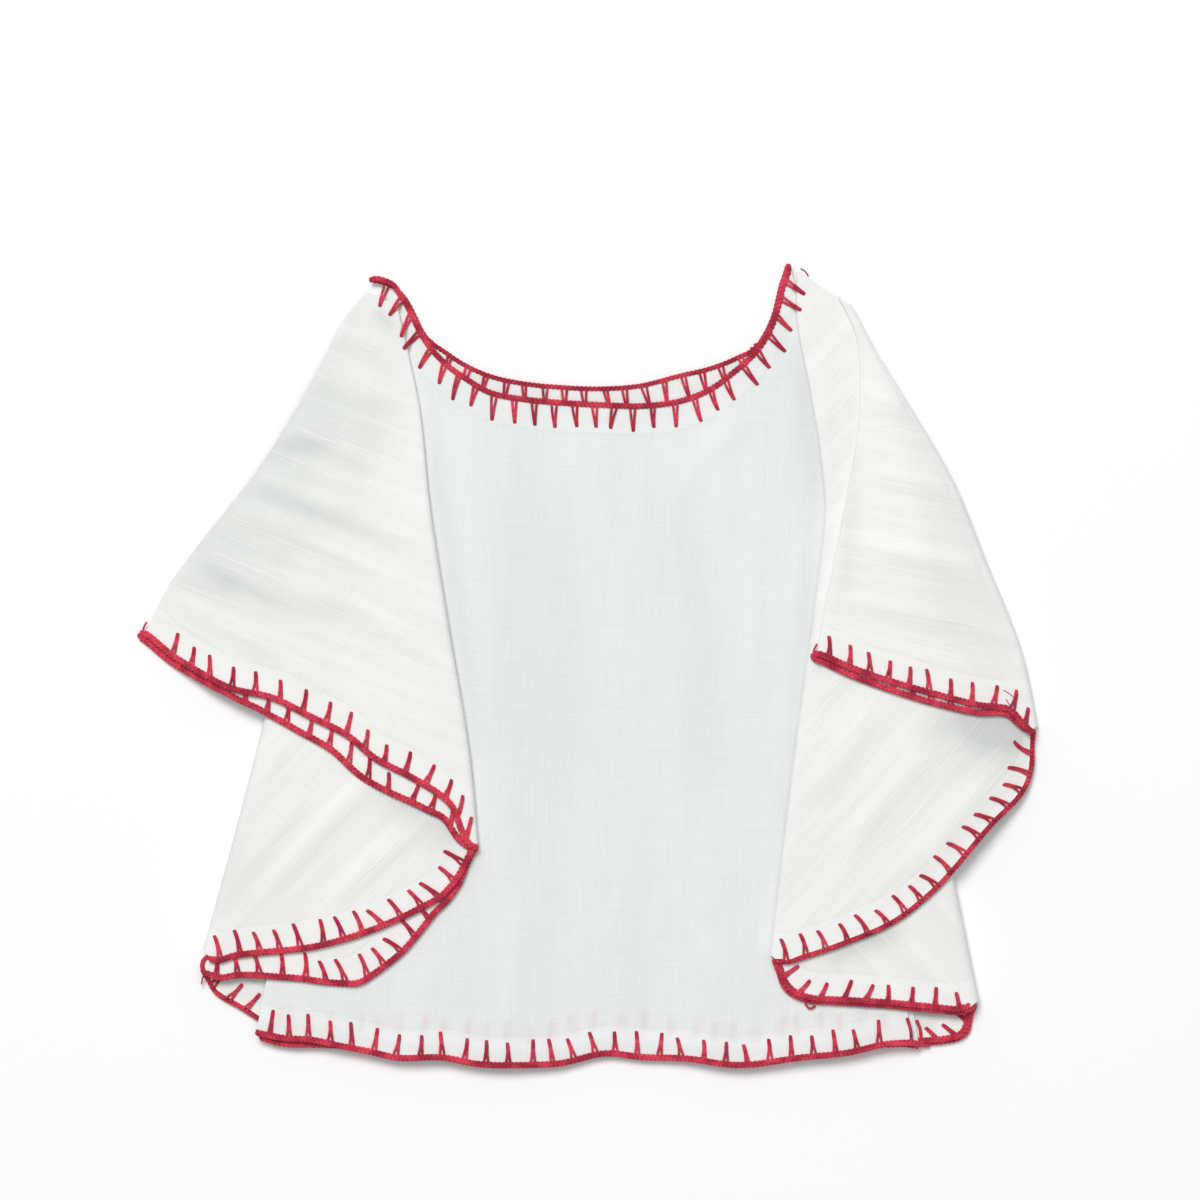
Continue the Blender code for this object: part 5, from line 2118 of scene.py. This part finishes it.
@dataclass
class Blouse:
    """The whole garment, from its cloth to its crochet."""

    lie: Lie = field(default_factory=Lie)
    flap_blend: float = 1.5
    back_seen: tuple[float, float] = (-66.0, 64.0)
    neck_middle: float = -1.0
    tuck_from: float = 58.0
    tuck_over: float = 8.0
    tuck_share: float = 0.6
    drawn_from: float = -76.0
    drawn_over: float = 6.0
    drawn_share: float = 0.75
    mark_seed: int = 5
    mark_shares: tuple[float, ...] = (0.85, 1.1, 1.35)
    slub_points: int = 40
    slub_sway: float = 0.5
    slub_bends: float = 7.0
    slub_sink: float = 0.09
    slub_thin: float = 0.04
    slub_thick: float = 0.15

    def shoulder_top(self, panel_top: Heights) -> Heights:
        """Upper face of whatever lies on top near the neckline.

        Args:
            panel_top: The panel's upper face.

        Returns:
            A function from plan points to heights.
        """
        sleeves = {side: FoldedSleeve(side, self.lie) for side in Side}

        def height(points: Array) -> Array:
            """The height of the uppermost face.

            Args:
                points: Plan points, one a row.

            Returns:
                One height for each point.
            """
            top = panel_top(points)
            for side, first in ((Side.LEFT, 2), (Side.RIGHT, 2), (Side.RIGHT, 3)):
                flap = sleeves[side].top_of(first, 0.5)(points)
                away = outside_distance(points, self.lie.outlines[side][first])
                top = mixed(top, np.maximum(top, flap), 1 - smooth_step(away / self.flap_blend))
            return top
        return height

    def neck_runs(self, back: BodyPanel, front: BodyPanel) -> list[StitchRun]:
        """The stitches of both necklines, those of the back only as far as they are seen.

        Args:
            back: The back panel.
            front: The front panel.

        Returns:
            The front's row, then the back's.
        """
        front_line = smooth_line(NECK_FRONT)
        back_line = smooth_line(NECK_BACK)
        gap = np.min(np.linalg.norm(back_line[:, None] - front_line[None], axis=-1), axis=1)
        beyond = (back_line[:, 0] < self.back_seen[0]) | (back_line[:, 0] > self.back_seen[1])
        room = np.where(beyond, 0.0, gap)

        def front_top(points: Array) -> Array:
            """The front panel's upper face."""
            return self.lie.front_height(points) + SIZES.panel_wall

        def back_top(points: Array) -> Array:
            """The back panel's upper face."""
            return self.lie.back_height(points) + SIZES.panel_wall
        return [front.neck_run(np.full(SAMPLES, OPEN_ROOM), self.shoulder_top(front_top)),
                back.neck_run(room, back_top)]

    def neck_chain(self) -> Array:
        """The neck's chain: along the back, round the right tip, and back along the front.

        Returns:
            The chain's middle line, a closed loop.
        """
        places = []
        front, back = smooth_line(NECK_FRONT), smooth_line(NECK_BACK)
        nearest = front[np.argmin(np.linalg.norm(back[:, None] - front[None], axis=-1), axis=1)]
        from_middle = np.abs(back[:, 0] - self.neck_middle)
        tucked = smooth_step((from_middle - self.tuck_from) / self.tuck_over) * self.tuck_share
        beside = back[np.argmin(np.linalg.norm(front[:, None] - back[None], axis=-1), axis=1)]
        past = self.drawn_from - front[:, 0]
        drawn_in = smooth_step(past / self.drawn_over) * self.drawn_share
        for line, tip, height in (
                (mixed(back, nearest, tucked[:, None]), NECK_RIGHT_TIP, self.lie.back_height),
                (mixed(front, beside, drawn_in[:, None])[::-1], NECK_LEFT_TIP,
                 self.lie.front_height)):
            line = np.concatenate([line, [tip]])
            lift = SIZES.cord_radius + SIZES.chain_proud
            places.append(np.column_stack([line, height(line) + lift]))
        return rounded(np.concatenate(places), CHAIN_STEP, CHAIN_SPREAD, closed=True)

    def build(self) -> None:
        """Makes every piece and ties it to the frame."""
        weave, twist = slub_weave_group(), twisted_yarn_group()
        body_gauze = Gauze("body_gauze", ground=(0.795, 0.82, 0.808, 1.0),
                           shade=(0.62, 0.65, 0.64, 1.0), slub=(0.86, 0.87, 0.86, 1.0),
                           slub_amount=0.12, weave_amount=0.18).material(weave)
        sleeve_gauze = Gauze("sleeve_gauze", ground=(0.86, 0.866, 0.846, 1.0),
                             shade=(0.61, 0.63, 0.618, 1.0), slub=(0.92, 0.92, 0.895, 1.0),
                             slub_amount=0.3, weave_amount=0.12).material(weave)
        yarn = Yarn().material(twist)
        back = BodyPanel("back", self.lie, NECK_BACK, HEM_BACK, is_front=False)
        front = BodyPanel("front", self.lie, NECK_FRONT, HEM_FRONT, is_front=True)
        sleeves = {side: FoldedSleeve(side, self.lie) for side in Side}
        rng = np.random.default_rng(self.mark_seed)
        marks = np.array([stitch.foot + stitch.way * stitch.length * share
                          for stitch in back.hem_run().places(rng)
                          for share in self.mark_shares])
        edges = [
            # The neck's back chain, lower and partly under the front's edge, is drawn slimmer with
            # painted shade.
            CrochetEdge("neck_crochet", "neck_edging", [self.neck_chain()],
                        self.neck_runs(back, front), seed=3, closed=True, slim_until=0.47,
                        threads=self.loose("neck", sleeves), strand_radius=0.57,
                        half_width=0.7, joined_from=0.8),
            CrochetEdge("front_hem_crochet", "hem_edging_front", [front.hem_chain()],
                        [front.hem_run()], seed=4),
            CrochetEdge("back_hem_crochet", "hem_edging_back", [back.hem_chain()], [], seed=5),
            CrochetEdge("left_sleeve_crochet", "sleeve_left_edging",
                        [sleeves[Side.LEFT].chain()], sleeves[Side.LEFT].stitch_runs(), seed=6,
                        threads=self.loose("left_sleeve", sleeves)),
            CrochetEdge("right_sleeve_crochet", "sleeve_right_edging",
                        [sleeves[Side.RIGHT].chain(), sleeves[Side.RIGHT].doubled_chain()],
                        sleeves[Side.RIGHT].stitch_runs(), seed=7,
                        threads=self.loose("right_sleeve", sleeves)),
        ]
        crochet = {edge.node: self.fix(edge.build(yarn), edge.node, Slot.CROCHET)
                   for edge in edges}
        cloth = {
            "body_back": back.build(body_gauze, np.zeros((0, 2))),
            "body_front": front.build(body_gauze, marks),
            "sleeve_left": sleeves[Side.LEFT].build(sleeve_gauze),
            "sleeve_right": sleeves[Side.RIGHT].build(sleeve_gauze),
        }
        for node, piece in cloth.items():
            self.fix(piece, node, Slot.GAUZE)
        for sleeve in sleeves.values():
            self.slub_threads(sleeve, sleeve_gauze)

    def loose(self, name: str, sleeves: dict[Side, FoldedSleeve]) -> tuple[Thread, ...]:
        """The loose strands of one edging, laid on the cloth below them.

        Args:
            name: The edging's row in LOOSE_STRANDS.
            sleeves: Both sleeves.

        Returns:
            The strands.
        """
        made = []
        for side, index, places, radius, dark, lift in LOOSE_STRANDS[name]:
            plan = np.array(places)
            height = sleeves[side].top_of(index, 0.5)(plan) + radius + lift
            made.append(Thread(np.column_stack([plan, height]), radius, dark))
        return tuple(made)

    def slub_threads(self, sleeve: FoldedSleeve, finish: Material) -> None:
        """The few thickest threads of a sleeve's cloth, as fine raised lines.

        Args:
            sleeve: The sleeve.
            finish: Their material.
        """
        tubes = Tubes()
        for index, start, end in SLUBS[sleeve.side]:
            share = np.linspace(0, 1, self.slub_points)
            plan = mixed(np.array(start), np.array(end), share[:, None])
            plan[:, 1] += self.slub_sway * np.sin(self.slub_bends * share + start[0])
            height = sleeve.top_of(index, 0.5)(plan) - self.slub_sink
            radii = self.slub_thin + self.slub_thick * np.sin(math.pi * share) ** 0.5
            tubes.add(np.column_stack([plan, height]), radii)
        piece = tubes.build(f"{sleeve.side.value}_slub_threads", finish)
        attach(piece, "root")
        log.info("%s: %d faces", piece.name, len(piece.data.polygons))

    def fix(self, piece: Object, node: str, slot: Slot) -> Object:
        """Ties a piece to the frame in place of a solid.

        Args:
            piece: The piece.
            node: The solid that it stands for.
            slot: Its material slot; not used.

        Returns:
            The piece.
        """
        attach(piece, "root")
        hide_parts(node)
        log.info("%s stands for %s with %d faces", piece.name, node, len(piece.data.polygons))
        return piece


def main() -> None:
    """Builds the garment and its stage."""
    logging.basicConfig(level=logging.INFO, format="%(name)s: %(message)s")
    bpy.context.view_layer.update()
    Blouse().build()
    Studio().build()


if __name__ == "__main__":
    main()
